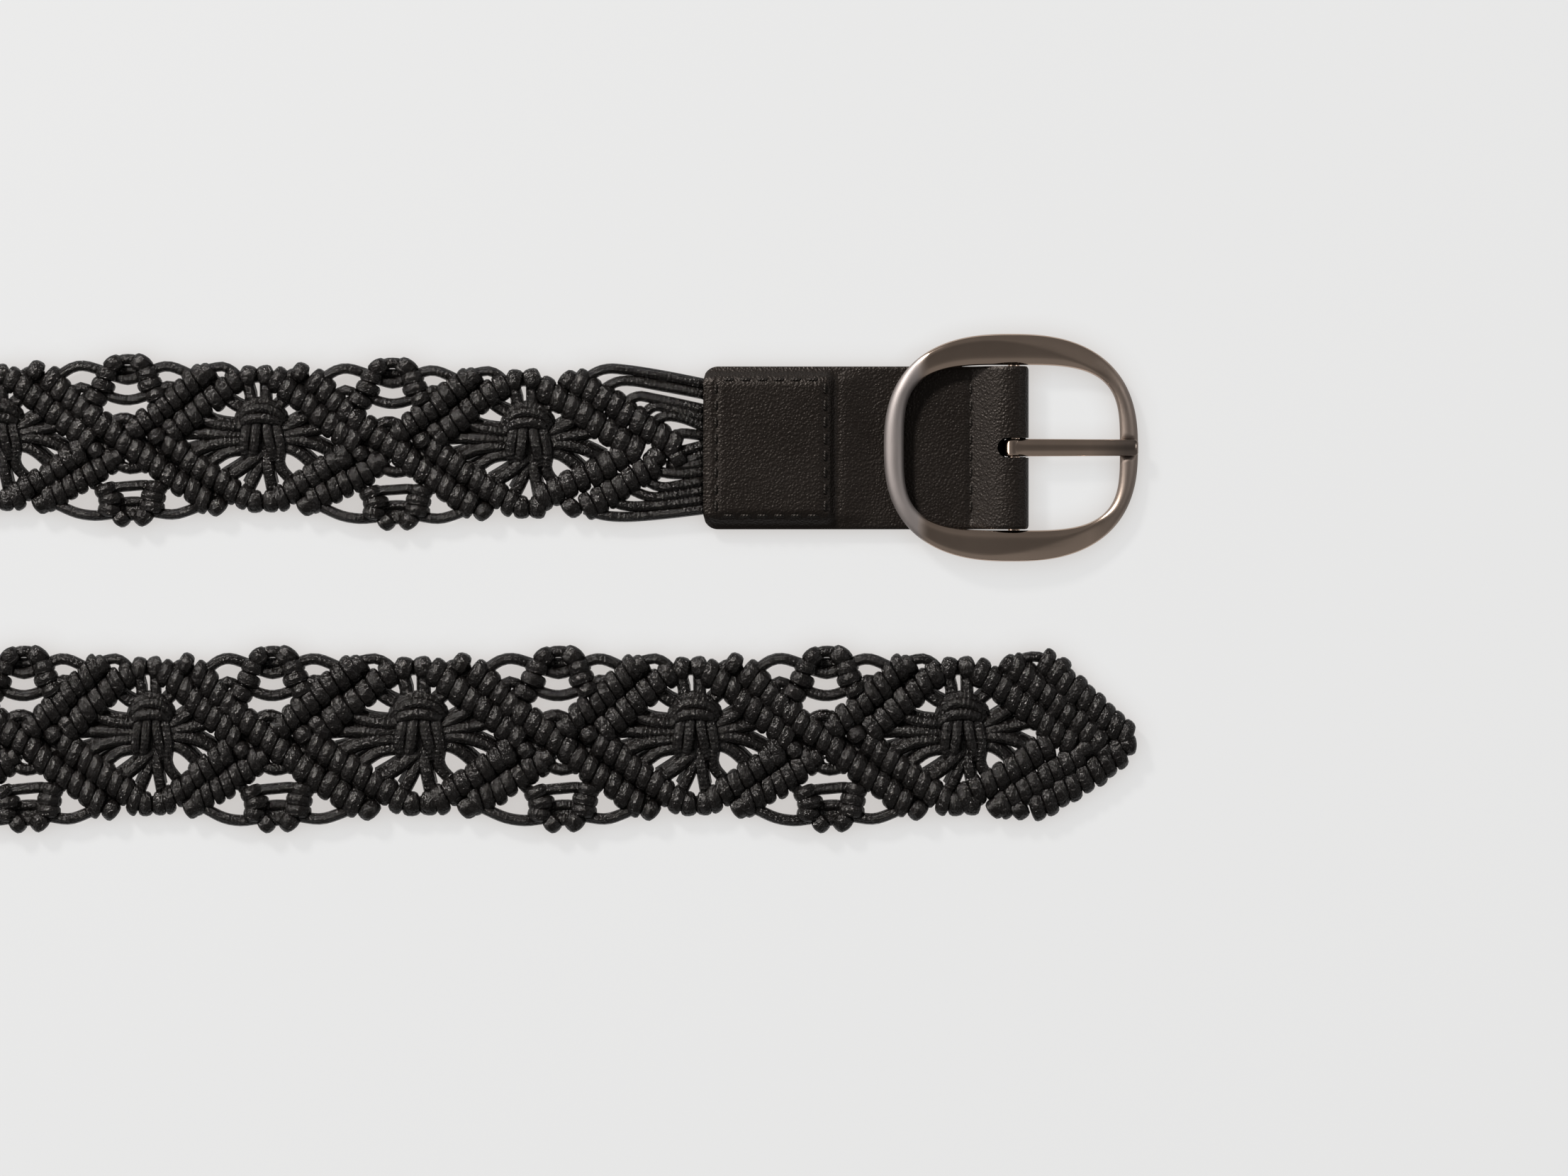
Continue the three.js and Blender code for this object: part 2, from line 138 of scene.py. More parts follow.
class Knotwork:
    """Collects cords as rings of points, with their length and girth as UVs."""

    def __init__(self):
        self.points, self.faces, self.uvs, self.tones = [], [], [], []
        self.count = 0

    def add(self, rings, closed, along, caps=False):
        """A surface through rings (steps, sides, 3); along is each ring's length from the start."""
        steps, sides, _ = rings.shape
        grid = np.arange(steps * sides).reshape(steps, sides) + self.count
        turns = steps if closed else steps - 1
        i, j = np.meshgrid(np.arange(turns), np.arange(sides), indexing="ij")
        i2, j2 = (i + 1) % steps, (j + 1) % sides
        quads = np.stack([grid[i, j], grid[i2, j], grid[i2, j2], grid[i, j2]], -1)
        reach = np.append(along, along[-1] + (along[-1] - along[-2]))
        u = np.stack([reach[i], reach[i + 1], reach[i + 1], reach[i]], -1)
        w = np.stack([j, j, j + 1, j + 1], -1) / sides
        self.points.append(rings.reshape(-1, 3))
        self.faces.append(quads.reshape(-1, 4))
        self.uvs.append(np.stack([u, w], -1).reshape(-1, 4, 2))
        self.tones.append(np.full(steps * sides, rng.random()))
        self.count += steps * sides
        if caps:
            for loop, ring in ((grid[0], rings[0]), (grid[-1], rings[-1])):
                self.cap(loop, ring)

    def cap(self, loop, ring):
        """Closes an end with a fan round its middle point."""
        self.points.append(ring.mean(0, keepdims=True))
        self.tones.append(self.tones[-1][:1])
        middle = np.full_like(loop, self.count)
        self.count += 1
        self.faces.append(np.stack([np.roll(loop, -1), loop, middle, middle], -1))
        self.uvs.append(np.zeros((len(loop), 4, 2)))

    def object(self, name, lay):
        points = lay(np.concatenate(self.points))
        faces = np.concatenate(self.faces)
        uvs = np.concatenate(self.uvs)
        loops = [list(dict.fromkeys(face)) for face in faces.tolist()]
        mesh = bpy.data.meshes.new(name)
        mesh.from_pydata(points.tolist(), [], loops)
        flat_uvs = np.concatenate([uv[: len(loop)] for uv, loop in zip(uvs, loops)])
        layer = mesh.uv_layers.new(name="cord")
        layer.data.foreach_set("uv", flat_uvs.ravel().astype(np.float32))
        tone = mesh.attributes.new("tone", "FLOAT", "POINT")
        tone.data.foreach_set("value", np.concatenate(self.tones).astype(np.float32))
        mesh.shade_smooth()
        return linked(name, mesh)


def linked(name, data):
    piece = bpy.data.objects.new(name, data)
    bpy.context.scene.collection.objects.link(piece)
    return piece


def fix_normals(piece, close=False):
    """Turns all faces outward, and closes the open ends first where that is asked."""
    mesh = bmesh.new()
    mesh.from_mesh(piece.data)
    if close:
        bmesh.ops.holes_fill(mesh, edges=[e for e in mesh.edges if e.is_boundary])
    bmesh.ops.recalc_face_normals(mesh, faces=mesh.faces)
    mesh.to_mesh(piece.data)
    mesh.free()


def angles(count):
    """Even steps round a full turn."""
    return np.arange(count) * math.tau / count


def powered(wave, power):
    """A sine or cosine made fuller by a power below 1, with its sign kept."""
    return np.sign(wave) * np.abs(wave) ** power


def reach_along(run):
    """How far each point of a run is from its start, measured along it."""
    return np.concatenate([[0], np.cumsum(np.linalg.norm(np.diff(run, axis=0), axis=1))])


def spline(a, b, c, d, t):
    """The point at a share t of the way from b to c on a Catmull-Rom spline."""
    bend = (2 * a - 5 * b + 4 * c - d) * t**2
    twist = (3 * b - a - 3 * c + d) * t**3
    return 0.5 * (2 * b + (c - a) * t + bend + twist)


def curve_through(points, step):
    """A smooth run of points about one step apart through the given ones."""
    points = np.asarray(points, float)
    if len(points) == 2:
        count = max(int(np.linalg.norm(points[1] - points[0]) / step), 2)
        return points[0] + (points[1] - points[0]) * np.linspace(0, 1, count + 1)[:, None]
    padded = np.vstack([2 * points[0] - points[1], points, 2 * points[-1] - points[-2]])
    run = []
    for a, b, c, d in zip(padded, padded[1:], padded[2:], padded[3:]):
        count = max(int(np.linalg.norm(c - b) / step), 2)
        run += [spline(a, b, c, d, t) for t in np.linspace(0, 1, count, endpoint=False)]
    return np.array([*run, points[-1]])


# The spacing of the hitches in rows that fall and rise to the right, and a hitch's width as a share of it
FALLING, RISING = (3.5, 1.16), (3.3, 1.14)
ROW_LEAN = 0.2
# How much narrower a turn of cord is at its sides than on its face
PULLED_IN = 0.16

# The cord looks thicker where it lies loose: its diameters in the parts of the net
LOOP_CORD = 2.8
PICOT_CORD = 2.9
HIDDEN_CORD = 3.0
GATHERED_CORD = 3.1
EDGE_CORD = 3.2
FAN_CORD = 3.3
# Height of the turns that stand on a knot's head, and the sides of cords that hardly show
HEAD_HEIGHT = 5.2
HIDDEN_SIDES = 6


class Cell:
    """One diamond or crossing of the net, drawn with u to the photo's right and v up it."""

    def __init__(self, work, s, facing):
        self.work, self.s, self.facing = work, s, facing

    def flat(self, points):
        points = np.asarray(points, float)
        heights = points[:, 2] if points.shape[1] > 2 else np.zeros(len(points))
        return np.column_stack([self.s + self.facing * points[:, 0], self.facing * points[:, 1], heights])

    def strand(self, points, height=0.0, diameter=CORD, sides=10, step=1.2):
        """A bare cord through points (u, v) or (u, v, n)."""
        run = curve_through(self.flat(points), step)
        run[:, 2] += height
        tangent = np.gradient(run, axis=0)
        tangent /= np.linalg.norm(tangent, axis=1, keepdims=True)
        side = np.cross(tangent, [0, 0, 1.0])
        side /= np.linalg.norm(side, axis=1, keepdims=True)
        up = np.cross(side, tangent)
        angle = angles(sides)
        ring = np.cos(angle)[:, None] * side[:, None] + np.sin(angle)[:, None] * up[:, None]
        rings = run[:, None] + ring * (diameter / 2)
        self.work.add(rings[:, ::-1], False, reach_along(run), caps=True)

    def wrap(self, place, angle, across=7.2, width=3.8, thickness=CORD, height=0.0, tall=5.4, lean=0.0):
        """A turn of cord round the cord that a row runs on, which points along angle there."""
        steps, sides = 18, 12
        middle = self.flat([place])[0]
        middle[2] += height
        run = angle + (0 if self.facing > 0 else math.pi)
        ahead = np.array([math.cos(run), math.sin(run), 0])
        beside = np.array([-math.sin(run + lean), math.cos(run + lean), 0])
        up = np.array([0, 0, 1.0])
        round_it, section = angles(steps), angles(sides)
        c, s = np.cos(round_it)[:, None], np.sin(round_it)[:, None]
        out = beside * c * (across - thickness) / 2 + up * s * (tall - thickness) / 2
        radial = beside * c + up * s
        # the turn is fattest on its face and pulled in where it goes down between its neighbours
        face = np.clip(s, 0, 1) ** 0.7
        swell = powered(np.cos(section), 0.72) * thickness / 2
        spread = powered(np.sin(section), 0.85) * width / 2
        spread = spread * (1 - PULLED_IN + PULLED_IN * face)
        rings = middle + out[:, None] + radial[:, None] * swell[:, None] + ahead * spread[..., None]
        girth = math.pi * (across + tall - 2 * thickness) / 2
        self.work.add(rings, True, np.arange(steps) * girth / steps)

    def row(self, line, across=7.5):
        """Hitches side by side along a line of points, each a little different."""
        (u1, v1), (u2, v2) = line[0], line[-1]
        pitch, overlap = FALLING if (u2 - u1) * (v2 - v1) < 0 else RISING
        run = curve_through(line, 0.5)
        reach = reach_along(run)
        count = max(int(round(reach[-1] / pitch)), 1)
        for k in range(count + 1):
            at = reach[-1] * k / count
            place = np.array([np.interp(at, reach, run[:, i]) for i in (0, 1)])
            near = [np.interp(at + step, reach, run[:, i]) for step in (-1, 1) for i in (0, 1)]
            angle = math.atan2(near[3] - near[1], near[2] - near[0])
            # turns lean towards the belt's width
            lean = ROW_LEAN * (1 if math.sin(2 * angle) < 0 else -1)
            beside = np.array([-math.sin(angle), math.cos(angle)])
            self.wrap(
                place + beside * rng.uniform(-0.3, 0.3),
                angle + rng.uniform(-0.06, 0.06),
                width=overlap * reach[-1] / count * rng.uniform(0.97, 1.05),
                across=across * rng.uniform(0.95, 1.06),
                height=rng.uniform(0.0, 0.3),
                lean=lean + rng.uniform(-0.06, 0.06),
            )
        self.strand(line, sides=HIDDEN_SIDES, step=5)

    def turns(self, table, **shape):
        """Single turns of cord, each given as (u, v, angle, across, width)."""
        for u, v, angle, across, width in table:
            self.wrap((u, v), angle, across=across, width=width, **shape)

    def cords(self, table, **shape):
        """Bare cords, each given as its points."""
        for points in table:
            self.strand(points, **shape)


# How a diamond is knotted: its inner rows of hitches, each with the cords that come to it from the
# outer row beside it (the row's line, how many cords, and the first and the last of them)
DIAMOND_ROWS = (
    (((3.6, 16.6), (13.6, 8.2), (22.6, 0.4)), 8, ((12, 17.4), (5, 15.4)), ((29, 3.2), (21.4, 0))),
    (((-23.6, -1.4), (-14, -8.6), (-4.8, -15.2)), 7,
     ((-29.6, -4.4), (-23.6, -1.6)), ((-14.4, -16.2), (-8, -13))),
    (((20.4, -3.2), (12.6, -9.4), (4.6, -15)), 7, ((12.6, -16), (6.6, -13.6)), ((27.4, -5.6), (20, -3.6))),
    (((-22.4, 2.4), (-14.6, 9.8), (-7, 16.2)), 7, ((-28.6, 6.4), (-22, 2.8)), ((-15.6, 18.2), (-9, 14.8))),
)
LINK_HEIGHT = -0.6

# A diamond at either end of the belt has only the rows on its left
LEFT_ROWS = DIAMOND_ROWS[1::2]

# Where two diamonds meet, one row falls to the right and another rises, broken by the first
CROSSING_ROWS = (
    ((-20.3, 16.2), (-13.9, 10.2), (-5.2, 2.4), (0.4, -2), (8.1, -8.2), (18.6, -15.8)),
    ((1.6, 3.2), (7.6, 8.2), (17.8, 17.6)),
    ((-20.6, -15.6), (-12.4, -11), (-5.2, -5.8)),
)

# The knot in a diamond's middle: the bars over it (diameter, points) and the four cords they hold
KNOT_BARS = (
    (2.8, ((-6.2, 4.4, -0.8), (-5.7, 7, 0), (-3.7, 9.8, 0.7), (-0.6, 10.9, 0.9),
           (2.6, 10, 0.7), (5, 7.6, 0), (5.6, 4.6, -0.8))),
    (3.0, ((-6, 5, -0.4), (-5.2, 6.9, 0.9), (-3.2, 8.6, 1.6), (-0.5, 9.1, 1.8),
           (2.4, 8.7, 1.6), (4.5, 7, 0.9), (5.2, 5, -0.4))),
    (3.4, ((-5.2, 4.6, 0.2), (-3.6, 5.9, 1.5), (-0.5, 6.4, 1.8), (2.8, 5.9, 1.5), (4.7, 4.6, 0.2))),
)
GATHERED_CORDS = (
    ((-3.3, 5.6, 0.6), (-4.2, 1.8, 1.3), (-4.6, -1.6, 1.1), (-3.6, -5, -0.2)),
    ((-1.3, 5.6, 0.8), (-1.6, 1.8, 1.5), (-2, -1.6, 1.3), (-3, -5.2, -0.2)),
    ((1.1, 5.6, 0.8), (1.5, 1.8, 1.5), (2.3, -1.8, 1.3), (3.3, -5.2, 0)),
    ((3.3, 5.6, 0.6), (4.2, 1.8, 1.3), (4.7, -1.8, 1.1), (4.2, -5.4, 0.2),
     (5.2, -8, -0.2), (7.6, -10.6, -0.8)),
)

# The cords that spread from the knot. Under each lies a second one, a little shorter
FAN_CORDS = (
    ((1.1, -1.5, -0.6), (1.4, -6.5, 0.2), (1.8, -9, 0.2), (2.6, -13.5, -0.6)),
    ((0.4, -2.6, -0.4), (-3.2, -5.8, 0.8), (-6.2, -8.2, 0.5), (-9.8, -10.6, -0.6)),
    ((-0.2, -4, -0.8), (-1.6, -8.5, 0.1), (-3.9, -13.5, -0.6)),
    ((-3, 9.5, -0.2), (-3, 12.6, 0.2), (-4.3, 17, -0.2)),
    ((0.9, 9.5, -0.2), (0.9, 12, 0.2), (0.8, 16.8, -0.2)),
    ((-3.8, 8.4, -0.6), (-6.8, 9.8, -0.2), (-10, 12.2, -0.6)),
    ((3.2, 9, -0.6), (5.2, 10.9, -0.2), (7.8, 12.8, -0.6)),
    ((-17.4, 7.2, -0.8), (-12.4, 4.8, 0), (-8.2, 4, 0.3), (-1, 3.4, -1.2)),
    ((-23, 1.4, -0.8), (-16.4, 2, -0.4), (-10.8, 1.8, 0.2), (-1, 1.4, -1.2)),
    ((-20.4, -3.8, -0.8), (-16.4, -2.6, 0), (-12.4, -0.9, 0.3), (-7.6, -0.3, 0.3), (-1, -0.4, -1.2)),
    ((-16.2, -7.8, -0.8), (-12.4, -5.4, 0.1), (-9.4, -3.3, 0.3), (-5.9, -2.4, 0.3), (-0.6, -1.8, -1.2)),
    ((0.6, 2.6, -1.2), (5.4, 3.6, 0.2), (8.4, 5.4, 0.3), (13.6, 8.6, -0.8)),
    ((0.6, 1.4, -1.2), (5.6, 1.9, 0.2), (10.2, 2.8, 0.3), (18.4, 4.6, -0.8)),
    ((0.6, 0.2, -1.2), (5.8, 0.5, 0.3), (10, 0.4, 0.4), (14.2, -0.9, 0.2), (18.8, -3.4, -0.8)),
    ((0.8, -1.4, -1.2), (6.2, -1.6, 0.1), (9.6, -3.2, 0.1), (13.6, -7, -0.8)),
    ((-0.2, 5, -0.4), (-0.1, -1, -0.2), (-0.3, -6, -0.8)),
)
UNDER_LENGTH, UNDER_WIDTH, UNDER_SHIFT, UNDER_HEIGHT = 0.97, 0.94, 1.5, -1.1


def gathering_knot(cell):
    for diameter, points in KNOT_BARS:
        cell.strand(points, diameter=diameter, sides=12)
    cell.cords(GATHERED_CORDS, diameter=GATHERED_CORD, sides=12)
    for points in FAN_CORDS:
        cell.strand(points, diameter=FAN_CORD)
        under = [(u * UNDER_LENGTH, v * UNDER_WIDTH + UNDER_SHIFT, n) for u, v, n in points]
        cell.strand(under, height=UNDER_HEIGHT, diameter=HIDDEN_CORD, sides=HIDDEN_SIDES, step=2.0)


# The turns and bars at a diamond's top and bottom point
POINT_TURNS = (
    (-3.7, 17.5, -0.2, 6.4, 4.5), (0.9, 17.7, 0.25, 6.4, 4.5),
    (-2, -16.2, 0.1, 6.4, 4.5), (2.2, -16, -0.1, 6.4, 4.5),
)
POINT_CORDS = (
    ((-5.6, 16.6, -0.6), (-1.4, 17.6, -0.4), (3, 16.8, -0.6)),
    ((-4.6, -15.4, -0.6), (0, -15.8, -0.4), (4.6, -15, -0.6)),
)


def diamond(cell, rows):
    for line, links, first, last in rows:
        cell.row(line)
        for t in np.arange(links) / (links - 1):
            link = np.array(first) + (np.array(last) - first) * t
            ends = np.column_stack([link, (LINK_HEIGHT, LINK_HEIGHT)])
            cell.strand(ends, diameter=HIDDEN_CORD, sides=HIDDEN_SIDES, step=3.0)
    gathering_knot(cell)
    cell.turns(POINT_TURNS, thickness=LOOP_CORD, tall=HEAD_HEIGHT)
    cell.cords(POINT_CORDS, diameter=EDGE_CORD)


def edge_loops_right(cell):
    """Where the outer rows turn back at a diamond's top and bottom edge, on its right."""
    cell.wrap((9.4, 18.8), -0.45, across=6.0, width=4.2, thickness=LOOP_CORD)
    cell.strand(((5.2, 17.0, -0.4), (7.4, 18.6, 0.2), (9.6, 19.0, 0.4)))
    cell.wrap((11.0, -17.2), 0.6, across=5.6, width=4.4, thickness=LOOP_CORD)


def edge_loops_left(cell):
    cell.wrap((-14.0, 18.4), 0.7, across=5.8, width=4.2, thickness=LOOP_CORD)
    cell.strand(((-13.4, 19.6, 0.2), (-10.2, 20.2, 0.6), (-7.6, 19.0, 0.4), (-5.8, 17.0, -0.2)))
    cell.wrap((-11.4, -17.8), -0.75, across=5.6, width=4.2, thickness=LOOP_CORD)


# The knots that stand out on an edge where two diamonds meet: turns (u, v, across, width), bare cords
TOP_PICOT = {
    "left": ((-6, 18, 6, 3.7), (-6.9, 14.9, 6.4, 3.7), (-8.8, 11.6, 6.4, 3.8)),
    "right": ((4.3, 18, 6, 3.7), (4.9, 15.2, 6.6, 3.5), (6.4, 12.4, 6, 3.6)),
    "heads": ((-4.2, 20.6, 2.2, 5.4, 4.6), (2.8, 20.8, 0.95, 5.8, 4.8)),
    "cords": (
        ((-4.4, 19.8, -0.6), (-2.8, 21.6, -0.2), (-0.6, 22, 0), (1.4, 21.6, -0.2), (3.2, 19.8, -0.6)),
        ((-5.2, 17.6, -0.6), (-3.1, 17, -0.4), (-0.8, 16.4, -0.4), (1.6, 17, -0.4), (3.6, 17.6, -0.6)),
        ((-5, 19.2, -1), (-0.8, 19, -1.3), (3.6, 19.2, -1)),
        ((-7.6, 14.4, -0.6), (-5.8, 12.3, -0.2), (-3.1, 11.2, 0.2), (-0.2, 10.9, 0.3),
         (3.2, 11.8, 0.2), (6, 13.6, -0.6)),
        ((-24, 16.2, -0.6), (-19.8, 16.6, 0), (-15, 19.6, 0.2), (-12, 20.2, 0.2),
         (-9.1, 19.5, 0), (-5.6, 18.2, -0.6)),
        ((4.6, 18.8, -0.4), (8.7, 20.1, 0.2), (11.7, 19.6, 0.2), (14.7, 18.2, 0), (18, 17, -0.6)),
        ((-15.4, 12.6, -0.4), (-12.6, 14.4, 0.2), (-9.6, 13, -0.4)),
        ((5.4, 12.4, -0.4), (9.4, 14.8, 0.2), (13, 13.6, -0.6)),
    ),
}
BOTTOM_PICOT = {
    "left": ((-5.3, -18.9, 6.2, 3.7), (-4.9, -16, 6.8, 3.6), (-6.2, -13.4, 6.2, 3.5)),
    "right": ((5.5, -17.9, 6.6, 3.5), (5.8, -15.2, 6.6, 3.4), (6.6, -12.7, 5.8, 3.4)),
    "heads": ((-2.3, -21.2, 0.75, 4.8, 4.2), (3.3, -20.7, 2.3, 5.4, 4.6)),
    "cords": (
        ((-3.4, -19.6, -0.6), (-1, -20.4, -0.2), (0.8, -20.2, -0.2), (2.8, -19.6, -0.6)),
        ((-3.6, -17.2, -0.8), (-1.2, -16.7, -0.8), (1.6, -16.6, -0.8), (4.4, -17, -0.8)),
        ((-4, -18.8, -1), (0.4, -18.6, -1.3), (4.6, -18.6, -1)),
        ((-6.6, -13.6, -0.6), (-4, -12.8, 0.2), (-0.2, -12.4, 0.4), (3.8, -12.1, 0.2), (6, -12.6, -0.6)),
        ((-22, -15.6, -0.6), (-18.2, -17.6, 0), (-13.5, -19.7, 0.2), (-9, -20.4, 0.2), (-5, -20, -0.6)),
        ((4.6, -19.2, -0.4), (10.5, -20, 0.2), (14.7, -18.9, 0.2), (19.4, -16.6, -0.6)),
        ((-9.4, -10.4, -0.6), (-8.4, -12.4, 0), (-6.4, -14, -0.6)),
        ((7, -9.4, -0.6), (7.6, -11.4, 0), (7.2, -13.4, -0.6)),
    ),
}


def picot(cell, knot):
    """Two columns of turns, each turn round the way to its neighbours, with their heads and cords."""
    for side in ("left", "right"):
        column = [(u, v) for u, v, _, _ in knot[side]]
        for k, (u, v, across, width) in enumerate(knot[side]):
            (u1, v1), (u2, v2) = column[max(k - 1, 0)], column[min(k + 1, len(column) - 1)]
            cell.wrap((u, v), math.atan2(v2 - v1, u2 - u1), across=across, width=width, height=0.2)
    cell.turns(knot["heads"], thickness=LOOP_CORD, tall=HEAD_HEIGHT)
    cell.cords(knot["cords"], diameter=PICOT_CORD)


# The loose turns that fill the crossing of two rows
CROSSING_TURNS = (
    (6.9, 1.1, -0.95, 5.4, 4.4), (-8.8, -2.8, -1, 4.9, 4.6), (-3.6, -4.9, 0.55, 5.4, 3.8),
    (0.9, 2.9, 0.55, 5.6, 3.8), (-10.4, 7.2, -0.75, 5.8, 3.8), (10.4, 3.6, 0.8, 5.6, 4),
    (-13, -4.6, 0.7, 5.8, 4),
)

# The bare cords there: two that arch over the holes above and below, and those that lie under the turns
CROSSING_CORDS = (
    ((-5.4, 4.2, -0.4), (-3.4, 5.6, 0.6), (-1, 6, 0.8), (1.6, 4.8, 0.4), (3, 3.6, -0.4)),
    ((-4.6, -6, -0.4), (-2.4, -6.9, 0.4), (0, -7.7, 0.5), (3.8, -6.8, -0.4)),
    ((-10.6, -0.8, -0.9), (-5.8, -2.4, -1), (-2, -5.8, -0.9)),
    ((-11.6, 1.8, -0.9), (-6.6, -0.2, -1), (-1.6, -4, -0.9)),
    ((-3.6, 4, -0.9), (1, 1.6, -1), (5.4, -3.2, -0.9)),
    ((1, 4.4, -0.9), (4.8, 2.4, -1), (8.4, -3.6, -0.9)),
    ((5.4, 5.6, -0.9), (9, 1.6, -1), (11.6, -2.6, -0.9)),
)


def crossing(cell):
    for line in CROSSING_ROWS:
        cell.row(line)
    cell.turns(CROSSING_TURNS, height=0.1)
    cell.cords(CROSSING_CORDS, diameter=GATHERED_CORD)
    picot(cell, TOP_PICOT)
    picot(cell, BOTTOM_PICOT)


# The rows that close the net at the tip, three on each side of the point, and the turns beside them
TIP_ROWS = (
    ((4.4, 16.8), (15.4, 8), (26.4, -0.6)),
    ((13.2, 17.6), (24, 8.4), (33.9, -0.6)),
    ((20.4, 18.6), (31.4, 9), (40.6, 1)),
    ((0.6, -14.6), (10.4, -8.6), (20.8, -1.8)),
    ((9.9, -16.2), (19.4, -10.2), (28.6, -4.4)),
    ((18.4, -16.6), (28.4, -11.2), (38.6, -3.4)),
)
TIP_TURNS = ((30.4, -2.6, 0.6, 5.8, 4.6), (35.4, -3.2, 0.6, 5.4, 4.4))
TIP_LOOPS = (
    (11.4, 18.6, -0.7, 5.6, 4.4), (8.2, -17.2, 0.7, 5.6, 4.4),
    (14, -17.6, 0.6, 5.6, 4.4), (24.6, 18, -0.7, 5.4, 4),
)


def tip(cell):
    for line in TIP_ROWS:
        cell.row(line, across=7.9)
    cell.wrap((41.2, -1.4), 0.0, across=5.6, width=4.4, thickness=2.6)
    cell.turns(TIP_TURNS)
    cell.turns(TIP_LOOPS, thickness=LOOP_CORD)
    cell.strand(((12.6, 18.6, -0.2), (15.6, 20.4, 0.2), (18.8, 20.6, 0.2), (21.6, 19.4, -0.2)))


# The rows that close the net before the leather, and the turns beside them
START_ROWS = (
    ((4.2, 14.6), (14.6, 7.4), (25.4, -0.6)),
    ((12.4, 16.6), (23, 9), (34.6, 0.6)),
    ((3.6, -13.4), (12.6, -8.4), (21.8, -2.6)),
    ((14.4, -15.2), (22, -10.2), (29.4, -4.4)),
)
START_TURNS = ((30.6, -2.4, 0.5, 5.6, 4.2), (35.8, -2.6, 0.5, 5.6, 4.2))
START_LOOPS = ((9.7, 17.4, -0.7, 5.6, 4.4), (10.4, -15.8, 0.7, 5.6, 4.4))

# The cords from the last rows into the leather: from each row, over its swing, to the tab
LEAD_CORDS = (
    ((12, 16, -0.4), (15.4, 18.9, 0.2), (19, 20.2, 0.2), (24, 19.7, 0.1), (32, 18.2, 0.1), (42.4, 16, 0.3)),
    ((17.2, 14.4, -0.4), (21, 16.7, 0.4), (25, 16.9, 0.4), (32, 15.5, 0.3), (42.4, 13.4, 0.3)),
    ((22.4, 11, -0.4), (26, 13, 0.4), (30, 12.4, 0.4), (42.4, 9.6, 0.3)),
    ((27, 8, -0.4), (30, 10.4, 0.3), (34, 9.8, 0.3), (42.4, 7.4, 0.3)),
    ((29.2, 6, -0.4), (32.6, 7.9, 0.4), (37, 7.4, 0.4), (42.4, 5.2, 0.3)),
    ((33.6, 2.4, -0.4), (36.6, 3.6, 0.4), (42.4, 3, 0.3)),
    ((35, -1, -0.4), (38, -0.4, 0.2), (42.4, 0.8, 0.3)),
    ((36, -3, -0.4), (38.6, -3, 0.2), (42.4, -1.4, 0.3)),
    ((13.6, -16.2, -0.4), (17.6, -17.4, 0.2), (22, -17.7, 0.2), (28, -17.2, 0.1), (42.4, -15.3, 0.3)),
    ((18.4, -12.8, -0.4), (22.4, -14.7, 0.4), (29, -14.7, 0.4), (42.4, -13, 0.3)),
    ((23, -10, -0.4), (29, -12.4, 0.4), (35, -11.9, 0.4), (42.4, -10.6, 0.3)),
    ((26.8, -7.6, -0.4), (31.6, -9.9, 0.4), (37, -9.2, 0.4), (42.4, -8.2, 0.3)),
    ((29.6, -5.6, -0.4), (35, -6.6, 0.4), (42.4, -5.8, 0.3)),
    ((33.2, -4, -0.4), (37, -4.6, 0.4), (42.4, -3.6, 0.3)),
)
# How far the hidden ends run on from there, and how far they lap over the cords that show
TUCKED, TUCK_LAP = 16.0, 0.6


def start(cell):
    for line in START_ROWS:
        cell.row(line)
    cell.turns(START_TURNS)
    cell.turns(START_LOOPS, thickness=LOOP_CORD)
    for u, v, n in (cord[-1] for cord in LEAD_CORDS):
        cell.strand(((u - TUCK_LAP, v, n), (u + TUCKED, v, n)), step=4)
    cell.cords(LEAD_CORDS)


def knotted_band():
    """The net in five pieces, each a run of diamonds and crossings."""
    groups = 5
    works = [Knotwork() for _ in range(groups)]
    for k in range(DIAMONDS):
        s = START_LENGTH + k * DIAMOND_LENGTH
        work = works[k * groups // DIAMONDS]
        # the pattern changes its direction inside the turn, as both stretches in the photo look alike
        facing = -1 if s < BAND_LENGTH / 2 - STRETCH_SPACING / 2 else 1
        cell = Cell(work, s, facing)
        inner = 0 < k < DIAMONDS - 1
        diamond(cell, DIAMOND_ROWS if inner else LEFT_ROWS)
        if inner:
            edge_loops_right(cell)
        elif k == 0:
            start(cell)
        else:
            tip(cell)
        edge_loops_left(cell)
        if k < DIAMONDS - 1:
            crossing(Cell(work, s + DIAMOND_LENGTH / 2, facing))
    for k, work in enumerate(works):
        piece = work.object(f"knotted_band_{k + 1}", band_points)
        piece.data.materials.append(cord_material)
        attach(piece, "strap")
        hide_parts("knotted_band")


# Materials


